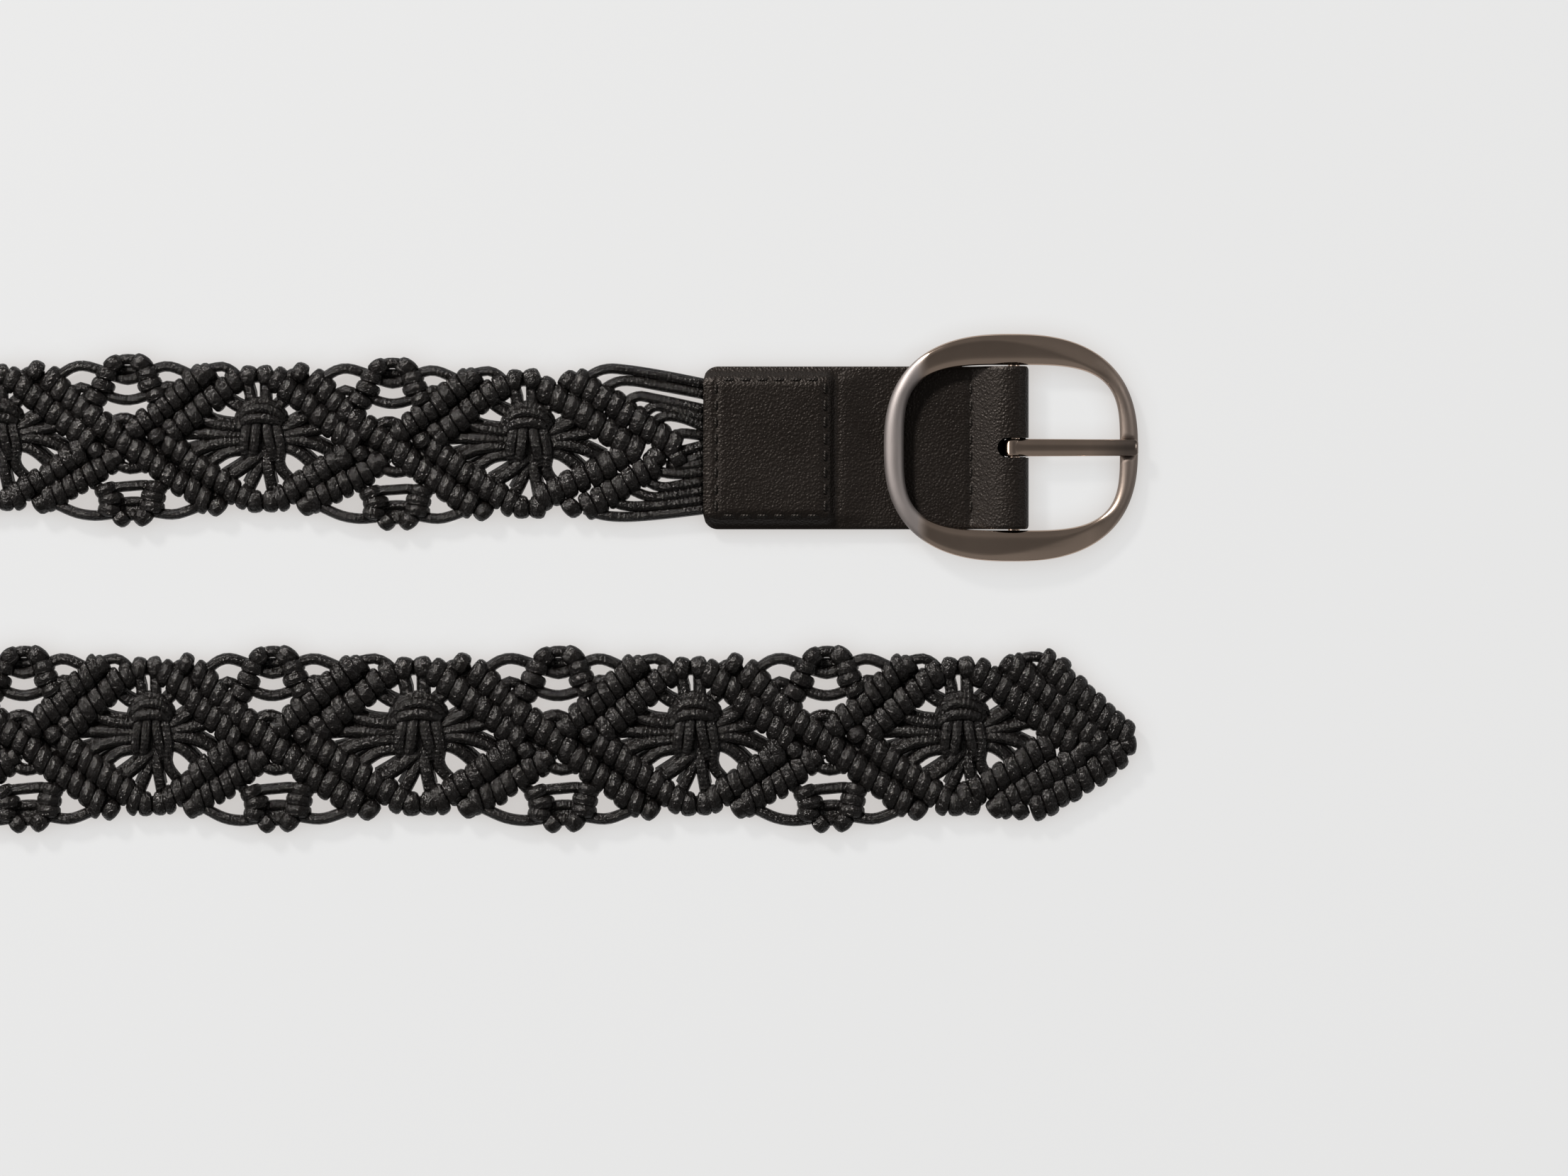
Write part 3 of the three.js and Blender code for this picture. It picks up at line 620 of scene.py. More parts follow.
class Nodes:
    """A short way to write a node tree."""

    def __init__(self, tree):
        self.tree = tree

    def node(self, kind, inputs=None, **settings):
        node = self.tree.nodes.new(kind)
        for key, value in settings.items():
            setattr(node, key, value)
        for key, value in (inputs or {}).items():
            self.put(node.inputs[key], value)
        return node

    def put(self, socket, value):
        if isinstance(value, bpy.types.NodeSocket):
            self.tree.links.new(value, socket)
        else:
            socket.default_value = value

    def math(self, operation, *values):
        return self.node("ShaderNodeMath", dict(enumerate(values)), operation=operation).outputs[0]

    def add_share(self, first, second, share):
        """The first value and a share of the second."""
        return self.math("ADD", first, self.math("MULTIPLY", second, share))

    def noise(self, scale, detail, vector, roughness=0.6):
        inputs = {"Scale": scale, "Detail": detail, "Vector": vector, "Roughness": roughness}
        return self.node("ShaderNodeTexNoise", inputs).outputs["Fac"]

    def spread(self, value, low, high, new_low, new_high, **settings):
        """The value carried from the range low to high over to the range new_low to new_high."""
        given = enumerate((value, low, high, new_low, new_high))
        return self.node("ShaderNodeMapRange", dict(given), **settings).outputs[0]

    def blend(self, factor, first, second):
        return self.node("ShaderNodeMix", {0: factor, 6: first, 7: second}, data_type="RGBA").outputs[2]

    def bump(self, height, strength, distance):
        """Normals for a height; the distance is in metres."""
        inputs = {"Strength": strength, "Distance": distance, "Height": height}
        return self.node("ShaderNodeBump", inputs).outputs[0]

    def vectors(self, operation, inputs):
        return self.node("ShaderNodeVectorMath", inputs, operation=operation).outputs[0]

    def split(self, vector):
        return self.node("ShaderNodeSeparateXYZ", {"Vector": vector}).outputs

    def cord_uv(self):
        """The length along a cord in mm and the share of the way round it."""
        return self.split(self.node("ShaderNodeUVMap", uv_map="cord").outputs[0])[:2]

    def place(self):
        return self.node("ShaderNodeTexCoord").outputs["Object"]


class Shader(Nodes):
    """The node tree of a new material."""

    def __init__(self, name):
        self.material = bpy.data.materials.new(name)
        self.material.use_nodes = True
        super().__init__(self.material.node_tree)
        self.surface = self.tree.nodes["Principled BSDF"]

    def set(self, **inputs):
        for key, value in inputs.items():
            self.put(self.surface.inputs[key.replace("_", " ")], value)


def make_cord_material():
    """Waxed braided cotton: plies that cross in chevrons, fibres along them, and glints of wax."""
    m = Shader("waxed_cord")
    length, girth = m.cord_uv()
    place = m.place()
    ply_length, plies = 2.1, 4.0
    run = m.math("DIVIDE", length, ply_length)
    turn = m.math("MULTIPLY", girth, plies)
    wander = m.math("MULTIPLY", m.noise(700.0, 2.0, place, 0.5), 0.7)
    crossed = [m.math("ADD", m.math(way, run, turn), wander) for way in ("ADD", "SUBTRACT")]
    braid = m.math("MULTIPLY", *(m.math("SINE", m.math("MULTIPLY", way, math.tau)) for way in crossed))
    # fibres: fine noise drawn out along the cord, each way askew by turns
    fibres = []
    for askew in (0.9, -0.9):
        across = m.math("ADD", m.math("MULTIPLY", girth, 17.0), m.math("MULTIPLY", length, askew))
        drawn = m.node("ShaderNodeCombineXYZ", {"X": m.math("MULTIPLY", length, 0.7), "Y": across})
        fibres.append(m.noise(1.0, 2.0, m.vectors("ADD", {0: drawn.outputs[0], 1: place})))
    over = m.spread(braid, -0.25, 0.25, 0.0, 1.0)
    under = m.math("SUBTRACT", 1.0, over)
    mixed = m.math("ADD", m.math("MULTIPLY", fibres[0], over), m.math("MULTIPLY", fibres[1], under))
    fuzz = m.noise(1900.0, 3.0, place)
    patch = m.noise(240.0, 3.0, place)
    tone = m.node("ShaderNodeAttribute", attribute_name="tone").outputs["Fac"]
    dark = m.blend(tone, (0.0008, 0.0006, 0.0005, 1), (0.0013, 0.0011, 0.0010, 1))
    pale = m.blend(tone, (0.0026, 0.0021, 0.0019, 1), (0.0045, 0.0038, 0.0035, 1))
    shade = m.add_share(m.math("MULTIPLY", mixed, 0.6), fuzz, 0.4)
    m.set(Base_Color=m.blend(m.spread(shade, 0.32, 0.68, 0.0, 1.0), dark, pale))
    wax = m.spread(m.add_share(patch, fuzz, 0.5), 0.62, 0.92, 0.25, 0.10)
    m.set(Roughness=wax, Specular_IOR_Level=0.23, Specular_Tint=(1.0, 0.955, 0.93, 1))
    height = m.add_share(m.add_share(mixed, fuzz, 0.5), braid, 0.2)
    m.set(Normal=m.bump(height, 1.0, 0.00046))
    return m.material


def make_leather_material():
    """Black satin leather with a pebbled grain."""
    m = Shader("leather")
    place = m.place()
    warp = m.node("ShaderNodeTexNoise", {"Scale": 700.0, "Detail": 2.0, "Vector": place}).outputs["Color"]
    bent = m.vectors("ADD", {0: place, 1: m.vectors("SCALE", {0: warp, "Scale": 0.0005})})
    cells = m.node("ShaderNodeTexVoronoi", {"Scale": 1800.0, "Vector": bent}, feature="SMOOTH_F1")
    pebbles = m.spread(cells.outputs["Distance"], 0.1, 0.65, 1.0, 0.0)
    broad = m.noise(60.0, 4.0, place)
    fine = m.noise(2600.0, 3.0, place)
    m.set(Base_Color=m.blend(broad, (0.0028, 0.0020, 0.0015, 1), (0.0048, 0.0036, 0.0029, 1)))
    m.set(Roughness=m.spread(m.add_share(broad, fine, 0.4), 0.4, 1.0, 0.38, 0.52))
    height = m.add_share(m.math("MULTIPLY", pebbles, 0.8), fine, 0.3)
    m.set(Normal=m.bump(height, 0.8, 0.00017), Specular_IOR_Level=0.19, Specular_Tint=(1.0, 0.87, 0.79, 1))
    return m.material


def make_thread_material():
    """Black waxed thread, laid in plies."""
    m = Shader("thread")
    length, girth = m.cord_uv()
    ply_length, plies = 0.8, 2.0
    lay = m.add_share(m.math("DIVIDE", length, ply_length), girth, plies)
    ply = m.math("SINE", m.math("MULTIPLY", lay, math.tau))
    shade = m.spread(ply, -1, 1, 0, 1)
    m.set(Base_Color=m.blend(shade, (0.0012, 0.0010, 0.0008, 1), (0.0034, 0.0027, 0.0022, 1)))
    m.set(Roughness=0.5, Specular_IOR_Level=0.2, Specular_Tint=(1.0, 0.88, 0.8, 1))
    m.set(Normal=m.bump(ply, 0.5, 0.00012))
    return m.material


def make_metal_material(brushed):
    """Dark nickel: polished on the long sides, brushed on the back bar and nearly so on the front one."""
    m = Shader("gunmetal")
    place = m.place()
    from_bar = m.math("SUBTRACT", m.split(place)[0], bar.x * MM)
    stretch = {"Vector": place, "Scale": (9000.0, 350.0, 9000.0)}
    lines = m.noise(1.0, 3.0, m.node("ShaderNodeMapping", stretch, vector_type="POINT").outputs[0])
    cloud = m.noise(90.0, 3.0, place)
    ends = (frame_high.x - frame_low.x) / 2 * MM
    middle = ((frame_high.x + frame_low.x) / 2 - bar.x) * MM
    outward = m.math("SUBTRACT", from_bar, middle)
    at_back = m.spread(outward, ends * -0.64, ends * -0.74, 0.0, 1.0)
    at_front = m.spread(outward, ends * 0.62, ends * 0.90, 0.0, 0.86)
    brushing = m.math("MULTIPLY", m.math("ADD", at_back, at_front), brushed)
    polished = m.blend(cloud, (0.43, 0.330, 0.264, 1), (0.51, 0.395, 0.320, 1))
    towards_back = m.blend(m.math("MULTIPLY", at_back, brushed), polished, (0.230, 0.205, 0.196, 1))
    m.set(Metallic=1.0, Base_Color=m.blend(at_front, towards_back, (0.128, 0.106, 0.094, 1)))
    rough = m.add_share(m.spread(cloud, 0.3, 0.7, 0.10, 0.16), brushing, 0.38)
    m.set(Roughness=m.add_share(rough, m.math("MULTIPLY", lines, brushing), 0.12))
    m.set(Normal=m.bump(lines, m.math("MULTIPLY", brushing, 0.25), 0.00005))
    return m.material


def make_surface_material():
    """The pale board that the belt lies on."""
    m = Shader("board")
    broad = m.noise(2.0, 2.0, m.place(), 0.5)
    m.set(Base_Color=m.blend(broad, (0.040, 0.040, 0.040, 1), (0.043, 0.043, 0.043, 1)), Roughness=0.8)
    # painted shade: the board's glow is dimmed and warmed close under the cords, where ambient occlusion
    # finds them near
    openness_for_painted_shade = m.node("ShaderNodeAmbientOcclusion", {"Distance": 0.007}, samples=8).outputs["AO"]
    glow_with_painted_shade = m.blend(m.spread(openness_for_painted_shade, 0.35, 0.95, 0.0, 1.0), (0.80, 0.765, 0.74, 1), (1.0, 1.0, 0.998, 1))
    m.set(Emission_Color=glow_with_painted_shade, Emission_Strength=0.735, Specular_IOR_Level=0.0)
    return m.material


cord_material = make_cord_material()
leather_material = make_leather_material()
thread_material = make_thread_material()
frame_material = make_metal_material(1.0)
prong_material = make_metal_material(0.35)


# The leather tab


def world(points):
    """World places, in metres, of points given in mm from the bar's middle and the surface."""
    points = np.asarray(points, float)
    return (points + np.array([bar.x, bar.y, 0.0])) * MM


BAR_RADIUS = 1.5
FOLD_RADIUS = bar.z - LEATHER / 2
STRAP_OVERHANG = 0.4
END_CORNER = 3.6
FOLD_CORNER = 1.4

# The pocket that holds the cords, and the leather's swell between it and the buckle
POCKET_LENGTH = 30.5
POCKET_RAMP = 3.2
PINCH_WIDTH = 3.4
END_RAMP, END_SINK = 3.5, 0.25
SWELL, SWELL_LENGTH = 0.7, 13.0

SEAM_FROM_BAR = 11.3
STITCH, STITCH_PITCH, STITCH_WIDTH = 3.1, 4.2, 0.9
STITCH_EDGE, SEAM_EDGE = 3.2, 2
GROOVE_DEPTH, GROOVE_WIDTH = 0.42, 0.75
STITCH_RISE, STITCH_DIP, STITCH_FLATNESS = 0.12, 0.75, 0.8

# The slot for the prong: each layer of leather has its own end, and the lower one's slants
SLOT_WIDTH, SLOT_REACH, SLOT_CORNER = 5.0, 4.2, 2.45
LOWER_SLOT_WIDTH, LOWER_SLOT_REACH, LOWER_SLOT_CORNER = 4.5, 2.95, 0.15
LOWER_SLOT_SLANT = 0.5
SLOT_BOTTOM, SLOT_TOP, SLOT_LAP = -1.5, 15.0, 0.01

# How many points the strap's outline from the side has in each stretch, and the strap across
LOWER_STEPS, FOLD_STEPS, SLOPE_STEPS, UPPER_STEPS = 56, 25, 17, 130
ACROSS_STEPS = 81
# The cut edge is rounded over its last stretch by a share of half the leather's thickness
EDGE_REACH, EDGE_ROUND = 0.75, 0.42
SHARP_FROM = math.radians(50)


def corner_inset(from_end, corner):
    """How far a rounded corner draws the strap's edge in, at a distance from the strap's end."""
    near = np.clip(corner - from_end, 0, corner)
    return corner - np.sqrt(np.maximum(corner**2 - near**2, 0))


def strap_half_width(x):
    fold_end = FOLD_RADIUS + LEATHER / 2
    corners = corner_inset(x + TAB_LENGTH, END_CORNER) + corner_inset(fold_end - x, FOLD_CORNER)
    return STRAP_WIDTH / 2 + STRAP_OVERHANG - corners


def front_rise(x, y):
    """How far the front layer stands up over the cords, dips at the seams and swells by the bar."""
    behind = smooth((-TAB_LENGTH + POCKET_LENGTH + POCKET_RAMP - x) / POCKET_RAMP)
    beside = smooth((STRAP_WIDTH / 2 - np.abs(y)) / PINCH_WIDTH)
    at_end = smooth((x + TAB_LENGTH) / END_RAMP) * END_SINK + (1 - END_SINK)
    # beyond the pocket's seam the leather swells a little and sinks again before the buckle
    past = (x + TAB_LENGTH - POCKET_LENGTH) / SWELL_LENGTH
    swell = SWELL * smooth(past * 2.4) * smooth((1 - past) * 1.3)
    return ((CORD + LAYER_GAP) * behind * at_end + swell) * beside


def stitch_lines():
    """Each row of stitches as two ends (x, y) in mm from the bar."""
    left, right = -TAB_LENGTH + STITCH_EDGE, -TAB_LENGTH + POCKET_LENGTH
    top = STRAP_WIDTH / 2 - STITCH_EDGE + 0.2
    by_bar, seam_end = -SEAM_FROM_BAR + 0.6, STRAP_WIDTH / 2 - SEAM_EDGE
    corners = ((left, top), (right, top), (right, -top), (left, -top))
    return (*zip(corners, corners[1:] + corners[:1]), ((by_bar, seam_end), (by_bar, -seam_end)))


def stitch_groove(x, y):
    """Depth of the groove that the stitches lie in."""
    depth = np.zeros(np.broadcast(x, y).shape)
    for (x1, y1), (x2, y2) in stitch_lines():
        length = math.hypot(x2 - x1, y2 - y1)
        along = np.clip(((x - x1) * (x2 - x1) + (y - y1) * (y2 - y1)) / length, 0, length)
        away = np.hypot(x - x1 - (x2 - x1) * along / length, y - y1 - (y2 - y1) * along / length)
        depth = np.maximum(depth, GROOVE_DEPTH * np.exp(-((away / GROOVE_WIDTH) ** 2)))
    return depth


def strap_line():
    """The strap's middle line from the side, (x, z), from its lower end round the bar."""
    low, high = LEATHER / 2, LEATHER + LAYER_GAP + LEATHER / 2
    line = [(x, low) for x in np.linspace(-TAB_LENGTH, -1.0, LOWER_STEPS)]
    for a in np.linspace(-math.pi / 2, math.pi / 2, FOLD_STEPS):
        line.append((FOLD_RADIUS * math.cos(a), bar.z + FOLD_RADIUS * math.sin(a)))
    for t in np.linspace(0, 1, SLOPE_STEPS)[1:]:
        drop = 1 - float(smooth(t**1.3))
        line.append((-SEAM_FROM_BAR * t, high + (bar.z + FOLD_RADIUS - high) * drop))
    line += [(x, high) for x in np.linspace(-SEAM_FROM_BAR, -TAB_LENGTH, UPPER_STEPS)[1:]]
    return np.array(line)


def leather_tab():
    line = strap_line()
    direction = np.gradient(line, axis=0)
    direction /= np.linalg.norm(direction, axis=1, keepdims=True)
    front = np.arange(len(line)) > LOWER_STEPS + FOLD_STEPS // 2
    even = np.linspace(-1, 1, ACROSS_STEPS)
    # the points are closer together towards the edges
    across = np.sin(even * math.pi / 2) * 0.35 + even * 0.65
    nothing = np.zeros_like(across)
    side = np.repeat([1.0, -1.0], ACROSS_STEPS)
    rings = []
    for (x, z), (dx, dz), upper in zip(line, direction, front):
        half = float(strap_half_width(x))
        y = across * half
        rise = front_rise(x, y) if upper else nothing
        groove = stitch_groove(x, y) if upper else nothing
        profile_y = np.concatenate([y, y[::-1]])
        near = np.clip((np.abs(profile_y) - (half - EDGE_REACH)) / EDGE_REACH, 0, 1)
        thick = LEATHER / 2 * (1 - EDGE_ROUND * near**2 * (side > 0))
        off = side * thick - np.concatenate([groove, nothing])
        lift = np.concatenate([rise, rise[::-1]])
        rings.append(np.column_stack([x + dz * off, profile_y, z - dx * off + lift]))
    work = Knotwork()
    work.add(np.array(rings), False, np.arange(len(rings), dtype=float), caps=False)
    piece = work.object("leather_tab_soft", world)
    fix_normals(piece, close=True)
    cut_slot(piece)
    piece.data.set_sharp_from_angle(angle=SHARP_FROM)
    piece.data.materials.append(leather_material)
    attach(piece, "strap")
    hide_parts("leather_tab")


def slot_outline(reach, width, corner):
    """The slot from above: open in front, with rounded corners behind."""
    half = width / 2
    outline = [(2 * bar.z, -half), (2 * bar.z, half)]
    for side, begin in ((1, math.pi / 2), (-1, math.pi)):
        for a in np.linspace(0, math.pi / 2, 10) + begin:
            x = corner - reach + corner * math.cos(a)
            outline.append((x, side * (half - corner) + corner * math.sin(a)))
    return outline


def cut_slot(piece):
    """The slot in the fold that the prong comes through, tighter in the lower layer than in the upper."""
    between = LEATHER + LAYER_GAP / 2
    upper = (between - SLOT_LAP, SLOT_TOP, SLOT_REACH, 0.0, SLOT_WIDTH, SLOT_CORNER)
    lower = (SLOT_BOTTOM, between + SLOT_LAP, LOWER_SLOT_REACH, LOWER_SLOT_SLANT)
    lower += (LOWER_SLOT_WIDTH, LOWER_SLOT_CORNER)
    for bottom, top, reach, slant, width, corner in (upper, lower):
        points = [(x, y, z) for z in (bottom, top) for x, y in slot_outline(reach - slant * z, width, corner)]
        cut_prism(piece, points)
    piece.data.shade_smooth()


def cut_prism(piece, points):
    """Takes the prism between two outlines away from a piece; the points are one outline, then the other."""
    count = len(points) // 2
    faces = [tuple(range(count))[::-1], tuple(range(count, 2 * count))]
    faces += [(i, (i + 1) % count, (i + 1) % count + count, i + count) for i in range(count)]
    mesh = bpy.data.meshes.new("slot")
    mesh.from_pydata(world(points).tolist(), [], faces)
    cutter = linked("slot", mesh)
    fix_normals(cutter)
    cut = piece.modifiers.new("slot", "BOOLEAN")
    cut.operation, cut.object, cut.solver = "DIFFERENCE", cutter, "EXACT"
    done = bpy.data.meshes.new_from_object(piece.evaluated_get(bpy.context.evaluated_depsgraph_get()))
    piece.modifiers.clear()
    piece.data = done
    bpy.data.objects.remove(cutter)


def tab_stitches():
    work = Knotwork()
    top_of = LEATHER * 2 + LAYER_GAP
    angle = angles(8)
    for (x1, y1), (x2, y2) in stitch_lines():
        length = math.hypot(x2 - x1, y2 - y1)
        count = int(length / STITCH_PITCH)
        direction = np.array([(x2 - x1) / length, (y2 - y1) / length])
        side = np.array([-direction[1], direction[0], 0.0])
        ring = np.cos(angle)[:, None] * side + np.sin(angle)[:, None] * np.array([0, 0, STITCH_FLATNESS])
        margin = (length - count * STITCH_PITCH + STITCH_PITCH - STITCH) / 2
        for k in range(count):
            run = []
            for t in np.linspace(0, 1, 9):
                x, y = np.array([x1, y1]) + direction * (margin + k * STITCH_PITCH + STITCH * t)
                z = top_of + float(front_rise(x, y)) - float(stitch_groove(x, y))
                run.append((x, y, z + STITCH_RISE - STITCH_DIP * abs(2 * t - 1) ** 4))
            rings = np.array(run)[:, None] + ring[None] * STITCH_WIDTH / 2
            work.add(rings, False, np.linspace(0, STITCH, len(run)), caps=True)
    piece = work.object("tab_stitches", world)
    piece.data.materials.append(thread_material)
    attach(piece, "strap")


# The buckle

SIDE_SLACK = 0.7
RAIL_WIDTH = 7.8
BACK_BAR, FRONT_BAR = 5.0, 4.6
FRAME_HEIGHT = 4.0
FRAME_LIFT, FRONT_LIFT = 0.35, 0.12
BEHIND = bar.x - frame_low.x
BEFORE = frame_high.x - bar.x
OUTER_SQUARENESS, INNER_SQUARENESS, RAIL_SQUARENESS = 2.5, 3.6, 3.2
FRAME_STEPS, RAIL_SIDES, BAR_SIDES = 240, 40, 24
PRONG_WIDTH = 3.8
PRONG_THICKNESS = 2.2
# The prong's width at its root as a share of PRONG_WIDTH, and how much of it is lost by its end
ROOT_SHARE, END_SLIMMING = 1.15, 0.06
ROLL_SLACK, ROLL_WALL = 0.3, 1.0
ROLL = BAR_RADIUS + ROLL_SLACK + ROLL_WALL
ROLL_CORNER = 0.8
ROLL_STEPS, PRONG_SIDES = 48, 28
SEAT_DEPTH, SEAT_SLACK = 0.9, 0.3


def oval(angle, middle, half_length, half_width, squareness):
    x = middle + half_length * powered(np.cos(angle), 2 / squareness)
    return np.column_stack([x, half_width * powered(np.sin(angle), 2 / squareness)])


def frame_height(x):
    """Height of the frame's middle: arched over the leather, down to the surface in front."""
    arch_x = -BEHIND * 0.72
    arch_z = 2 * LEATHER + LAYER_GAP + FRAME_LIFT + FRAME_HEIGHT / 2 + 0.1
    front_z = FRONT_LIFT + FRAME_HEIGHT / 2
    share = (x - arch_x) / (BEFORE - arch_x)
    return arch_z - (arch_z - front_z) * share**2


SEAT_X = BEFORE - FRONT_BAR / 2
SEAT_Z = float(frame_height(SEAT_X)) + FRAME_HEIGHT / 2 - SEAT_DEPTH + SEAT_SLACK


def frame_rings():
    """The frame's rings of points: round at both ends and squarer along its sides, where a crease runs."""
    angle = angles(FRAME_STEPS)
    # more stations where the oval turns fastest
    angle = angle - 0.12 * np.sin(4 * angle)
    half_width = STRAP_WIDTH / 2 + SIDE_SLACK
    middle, half_length = (BEFORE - BEHIND) / 2, (BEFORE + BEHIND) / 2
    outer = oval(angle, middle, half_length, half_width + RAIL_WIDTH, OUTER_SQUARENESS)
    shift, bars = (BACK_BAR - FRONT_BAR) / 2, (BACK_BAR + FRONT_BAR) / 2
    inner = oval(angle, middle + shift, half_length - bars, half_width, INNER_SQUARENESS)
    long_side = smooth((np.abs(np.sin(angle)) - 0.45) / 0.4)
    rounded = [(math.cos(a), -math.sin(a)) for a in np.linspace(0, math.tau, RAIL_SIDES, endpoint=False)]
    squared = []
    for c, s in rounded:
        push = 1 / (abs(c) ** RAIL_SQUARENESS + abs(s) ** RAIL_SQUARENESS) ** (1 / RAIL_SQUARENESS)
        squared.append((c * push, s * push * (0.9 if s > 0 else 1.0)))
    rings = []
    for near, far, long_here in zip(inner, outer, long_side):
        points = []
        for (rc, rs), (bc, bs) in zip(rounded, squared):
            side = rc + (bc - rc) * long_here
            up = rs + (bs - rs) * long_here
            at = near + (far - near) * (side + 1) / 2
            # the crease runs aslant, from the outer edge behind to the inner one in front
            crease = 1.0 - 2.0 * (at[0] - middle + 9.0) / 34.0
            slant = 0.26 * max(side - crease, 0.0) + 0.08 * max(crease - side, 0.0)
            z = float(frame_height(at[0])) + up * (1 - slant * long_here * (up > 0)) * FRAME_HEIGHT / 2
            points.append((at[0], at[1], z))
        rings.append(points)
    return np.array(rings)


def with_seat(rings):
    """The rings with a flat-bottomed groove pressed into the front bar for the prong."""
    x, y, z = rings[..., 0], rings[..., 1], rings[..., 2]
    seat = np.exp(-((x - SEAT_X) / 3.2) ** 8) * np.exp(-((y / (PRONG_WIDTH / 2 + 0.5)) ** 12))
    floor_z = SEAT_Z - SEAT_SLACK
    rings[..., 2] = np.where(z > floor_z, z * (1 - seat) + floor_z * seat, z)
    return rings


def buckle_frame():
    work = Knotwork()
    work.add(with_seat(frame_rings()), True, np.linspace(0, 180, FRAME_STEPS))
    bar_ends = STRAP_WIDTH / 2 + SIDE_SLACK + RAIL_WIDTH / 2
    run = np.array([(0, y, bar.z) for y in np.linspace(-bar_ends, bar_ends, 41)])
    a = angles(BAR_SIDES)
    circle = np.column_stack([np.cos(a), np.zeros(BAR_SIDES), np.sin(a)]) * BAR_RADIUS
    work.add(run[:, None] + circle[None], False, run[:, 1] + bar_ends, caps=True)
    piece = work.object("buckle_frame_smooth", world)
    fix_normals(piece)
    piece.data.materials.append(frame_material)
    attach(piece, "frame")
    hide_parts("buckle_frame")


def prong_roll(side, up):
    """The rings of the roll round the bar; from above, its ends have rounded corners."""
    turns = angles(ROLL_STEPS)
    radius = ROLL - ROLL_WALL / 2 + up * ROLL_WALL / 2
    corner = np.clip((-np.cos(turns) * ROLL - ROLL + ROLL_CORNER) / ROLL_CORNER, 0, 1)
    half = PRONG_WIDTH / 2 * ROOT_SHARE - ROLL_CORNER * (1 - np.sqrt(1 - corner**2))
    across = np.cos(turns)[:, None] * radius
    return np.stack([across, half[:, None] * side, bar.z + np.sin(turns)[:, None] * radius], -1), turns * ROLL


def prong_shank(side, up):
    """The rings of the shank, which narrows and thins towards the nose in its last mm."""
    end_x = BEFORE - 0.1
    nose_x = end_x - 1.0
    top_of_roll = bar.z + ROLL
    top_end = SEAT_Z + PRONG_THICKNESS * 0.95
    under_x = (-1, 0, math.sqrt(ROLL**2 - (ROLL - PRONG_THICKNESS) ** 2), SEAT_X - FRONT_BAR)
    under_z = (top_of_roll - ROLL_WALL, top_of_roll - ROLL_WALL, top_of_roll - PRONG_THICKNESS, SEAT_Z)
    places = np.concatenate([np.linspace(-0.9, nose_x, 60), nose_x + np.sin(np.linspace(0.15, 1.5, 8))])
    # its back is rounded
    lift = np.where(up > 0, 1 - 0.36 * np.abs(side) ** 1.6, 1.0)
    rings = []
    for x in places:
        top = top_of_roll + (top_end - top_of_roll) * x / end_x
        # behind the bar's axis it grows out of the roll
        if x < 0:
            top = bar.z + math.sqrt(ROLL**2 - x**2) + 0.04 * x
        under = np.interp(x, under_x, under_z)
        nose = math.sqrt(max(1 - max(x - nose_x, 0) ** 2, 0.01))
        slimming = END_SLIMMING * float(smooth((x - ROLL) / (end_x - ROLL)))
        half = PRONG_WIDTH / 2 * (ROOT_SHARE - slimming) * (0.55 + 0.45 * nose)
        middle, reach = (top + under) / 2, (top - under) / 2 * nose
        rings.append(np.column_stack([np.full(PRONG_SIDES, x), side * half, middle + up * lift * reach]))
    return np.array(rings), places


def buckle_prong():
    work = Knotwork()
    around = angles(PRONG_SIDES)
    side, up = powered(np.cos(around), 0.6), powered(np.sin(around), 0.7)
    rings, along = prong_roll(side, up)
    work.add(rings, True, along)
    rings, along = prong_shank(side, up)
    work.add(rings, False, along, caps=True)
    piece = work.object("prong_smooth", world)
    fix_normals(piece)
    piece.data.set_sharp_from_angle(angle=SHARP_FROM)
    piece.data.materials.append(prong_material)
    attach(piece, "prong")
    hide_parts("prong")


# The surface, the light and the camera

# The photo: mm in a pixel, its size, and the pixel that shows the bar's middle
PIXEL = 0.178
PHOTO_WIDTH, PHOTO_HEIGHT = 2212, 1659
BAR_PIXEL = (1429.5, 632.2)
CAMERA_DISTANCE = 1.6
SENSOR = 36.0
BOARD_REACH, BOARD_DROP = 2.5, 0.0001

# The soft boxes: place from the middle of the view in metres, size, watts and tint
SOFT_BOXES = {
    "key": ((-0.80, 1.05, 0.90), (0.24, 0.20), 58.0, (1.0, 0.985, 0.965)),
    "left": ((-1.05, 0.08, 0.60), (0.9, 0.4), 4.2, (1.0, 0.985, 0.975)),
    "side": ((0.95, 0.25, 0.65), (0.3, 0.6), 2.5, (0.98, 0.99, 1.0)),
}


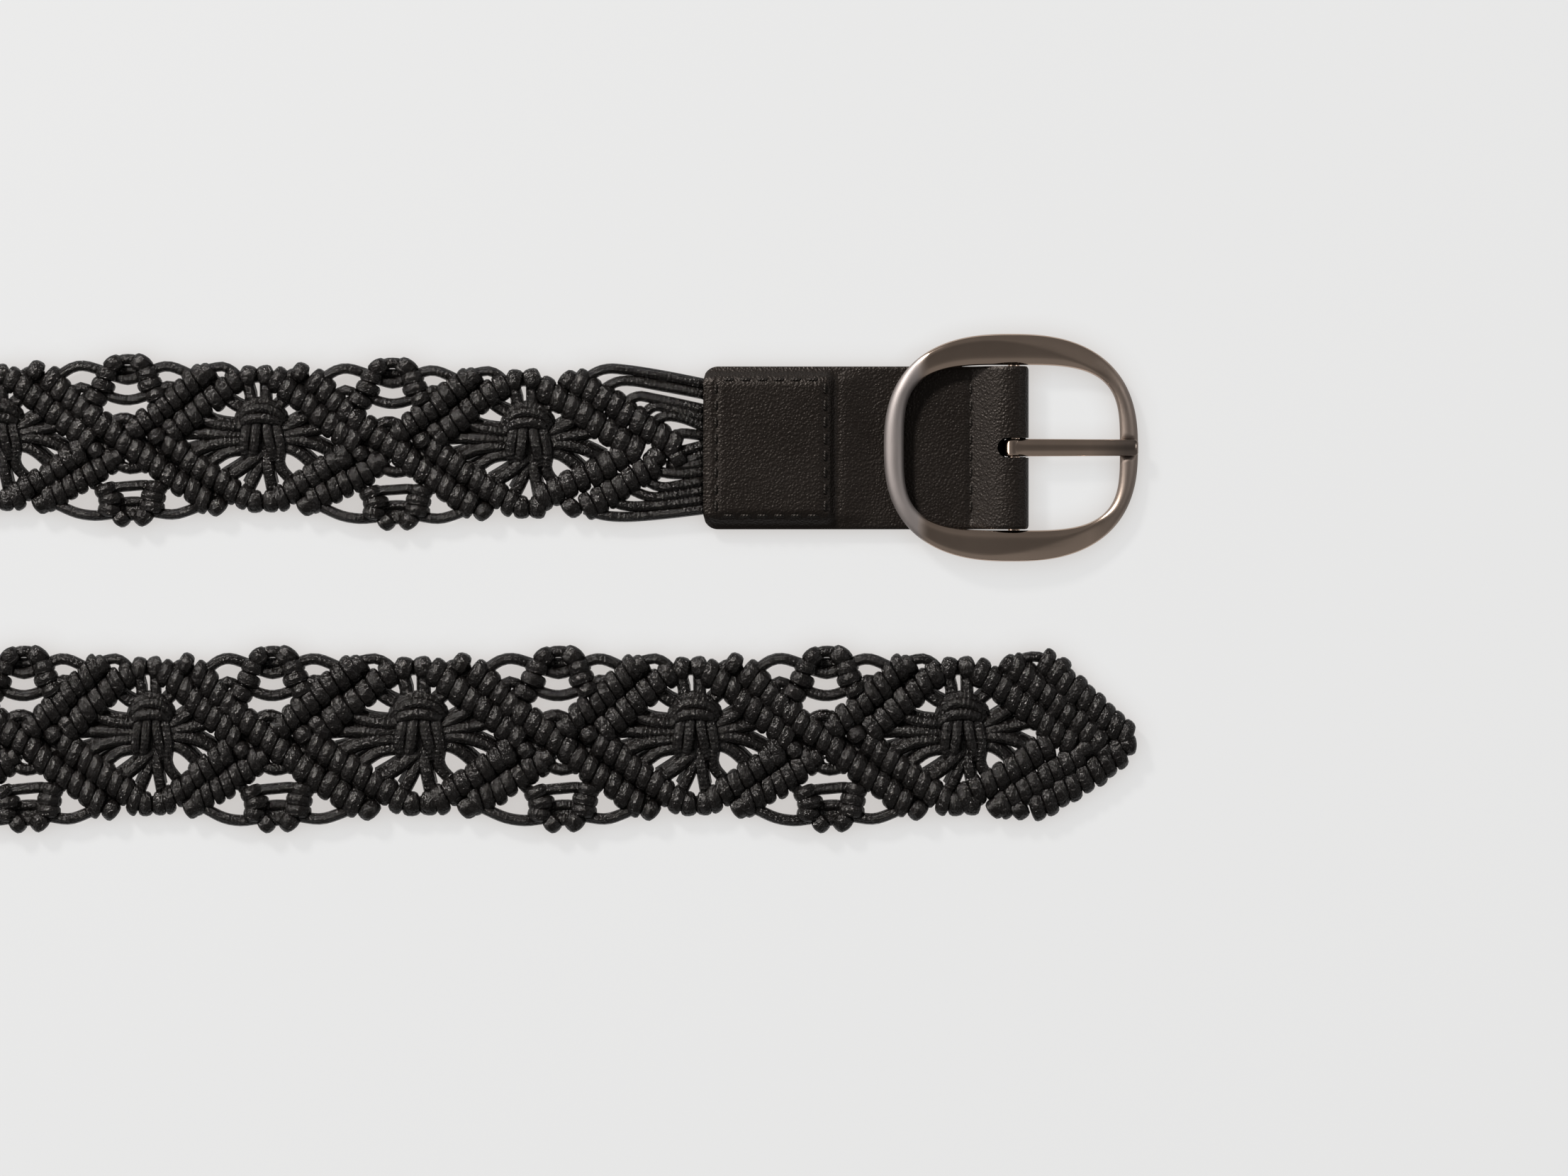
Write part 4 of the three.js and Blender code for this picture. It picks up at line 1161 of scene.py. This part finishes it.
def stage():
    mesh = bpy.data.meshes.new("board")
    corners = [(x * BOARD_REACH, y * BOARD_REACH, 0) for x, y in ((-1, -1), (1, -1), (1, 1), (-1, 1))]
    mesh.from_pydata(corners, [], [(0, 1, 2, 3)])
    board = linked("board", mesh)
    board.location.z = -BOARD_DROP
    mesh.materials.append(make_surface_material())


def lights(aim):
    for name, (offset, size, watts, tint) in SOFT_BOXES.items():
        data = bpy.data.lights.new(name, "AREA")
        data.shape = "RECTANGLE"
        data.size, data.size_y = size
        data.energy = watts
        data.color = tint
        box = linked(name, data)
        box.location = aim + Vector(offset)
        box.rotation_euler = (aim - box.location).to_track_quat("-Z", "Y").to_euler()


def room():
    """A room that is a little darker overhead, and brightest on the near side."""
    sky = bpy.data.worlds.new("room")
    sky.use_nodes = True
    m = Nodes(sky.node_tree)
    _, y, z = m.split(m.node("ShaderNodeTexCoord").outputs["Generated"])
    walls = m.spread(z, 0.88, 0.995, 0.22, 0.12, interpolation_type="SMOOTHSTEP")
    near = m.spread(y, -0.8, 0.8, 1.4, 0.9, interpolation_type="SMOOTHSTEP")
    background = m.tree.nodes["Background"]
    m.put(background.inputs["Color"], (1.0, 0.985, 0.97, 1))
    m.put(background.inputs["Strength"], m.math("MULTIPLY", walls, near))
    bpy.context.scene.world = sky


def camera():
    """The photo's camera, straight above; returns the middle of its view."""
    x = bar.x + (PHOTO_WIDTH / 2 - BAR_PIXEL[0]) * PIXEL
    y = bar.y - (PHOTO_HEIGHT / 2 - BAR_PIXEL[1]) * PIXEL
    aim = Vector((x, y, 0)) * MM
    data = bpy.data.cameras.new("camera")
    data.sensor_width = SENSOR
    data.lens = SENSOR * CAMERA_DISTANCE / (PHOTO_WIDTH * PIXEL * MM)
    view = linked("camera", data)
    view.location = aim + Vector((0, 0, CAMERA_DISTANCE))
    bpy.context.scene.camera = view
    return aim


aim = camera()
knotted_band()
leather_tab()
tab_stitches()
buckle_frame()
buckle_prong()
stage()
lights(aim)
room()
bpy.context.scene.view_settings.view_transform = "Standard"
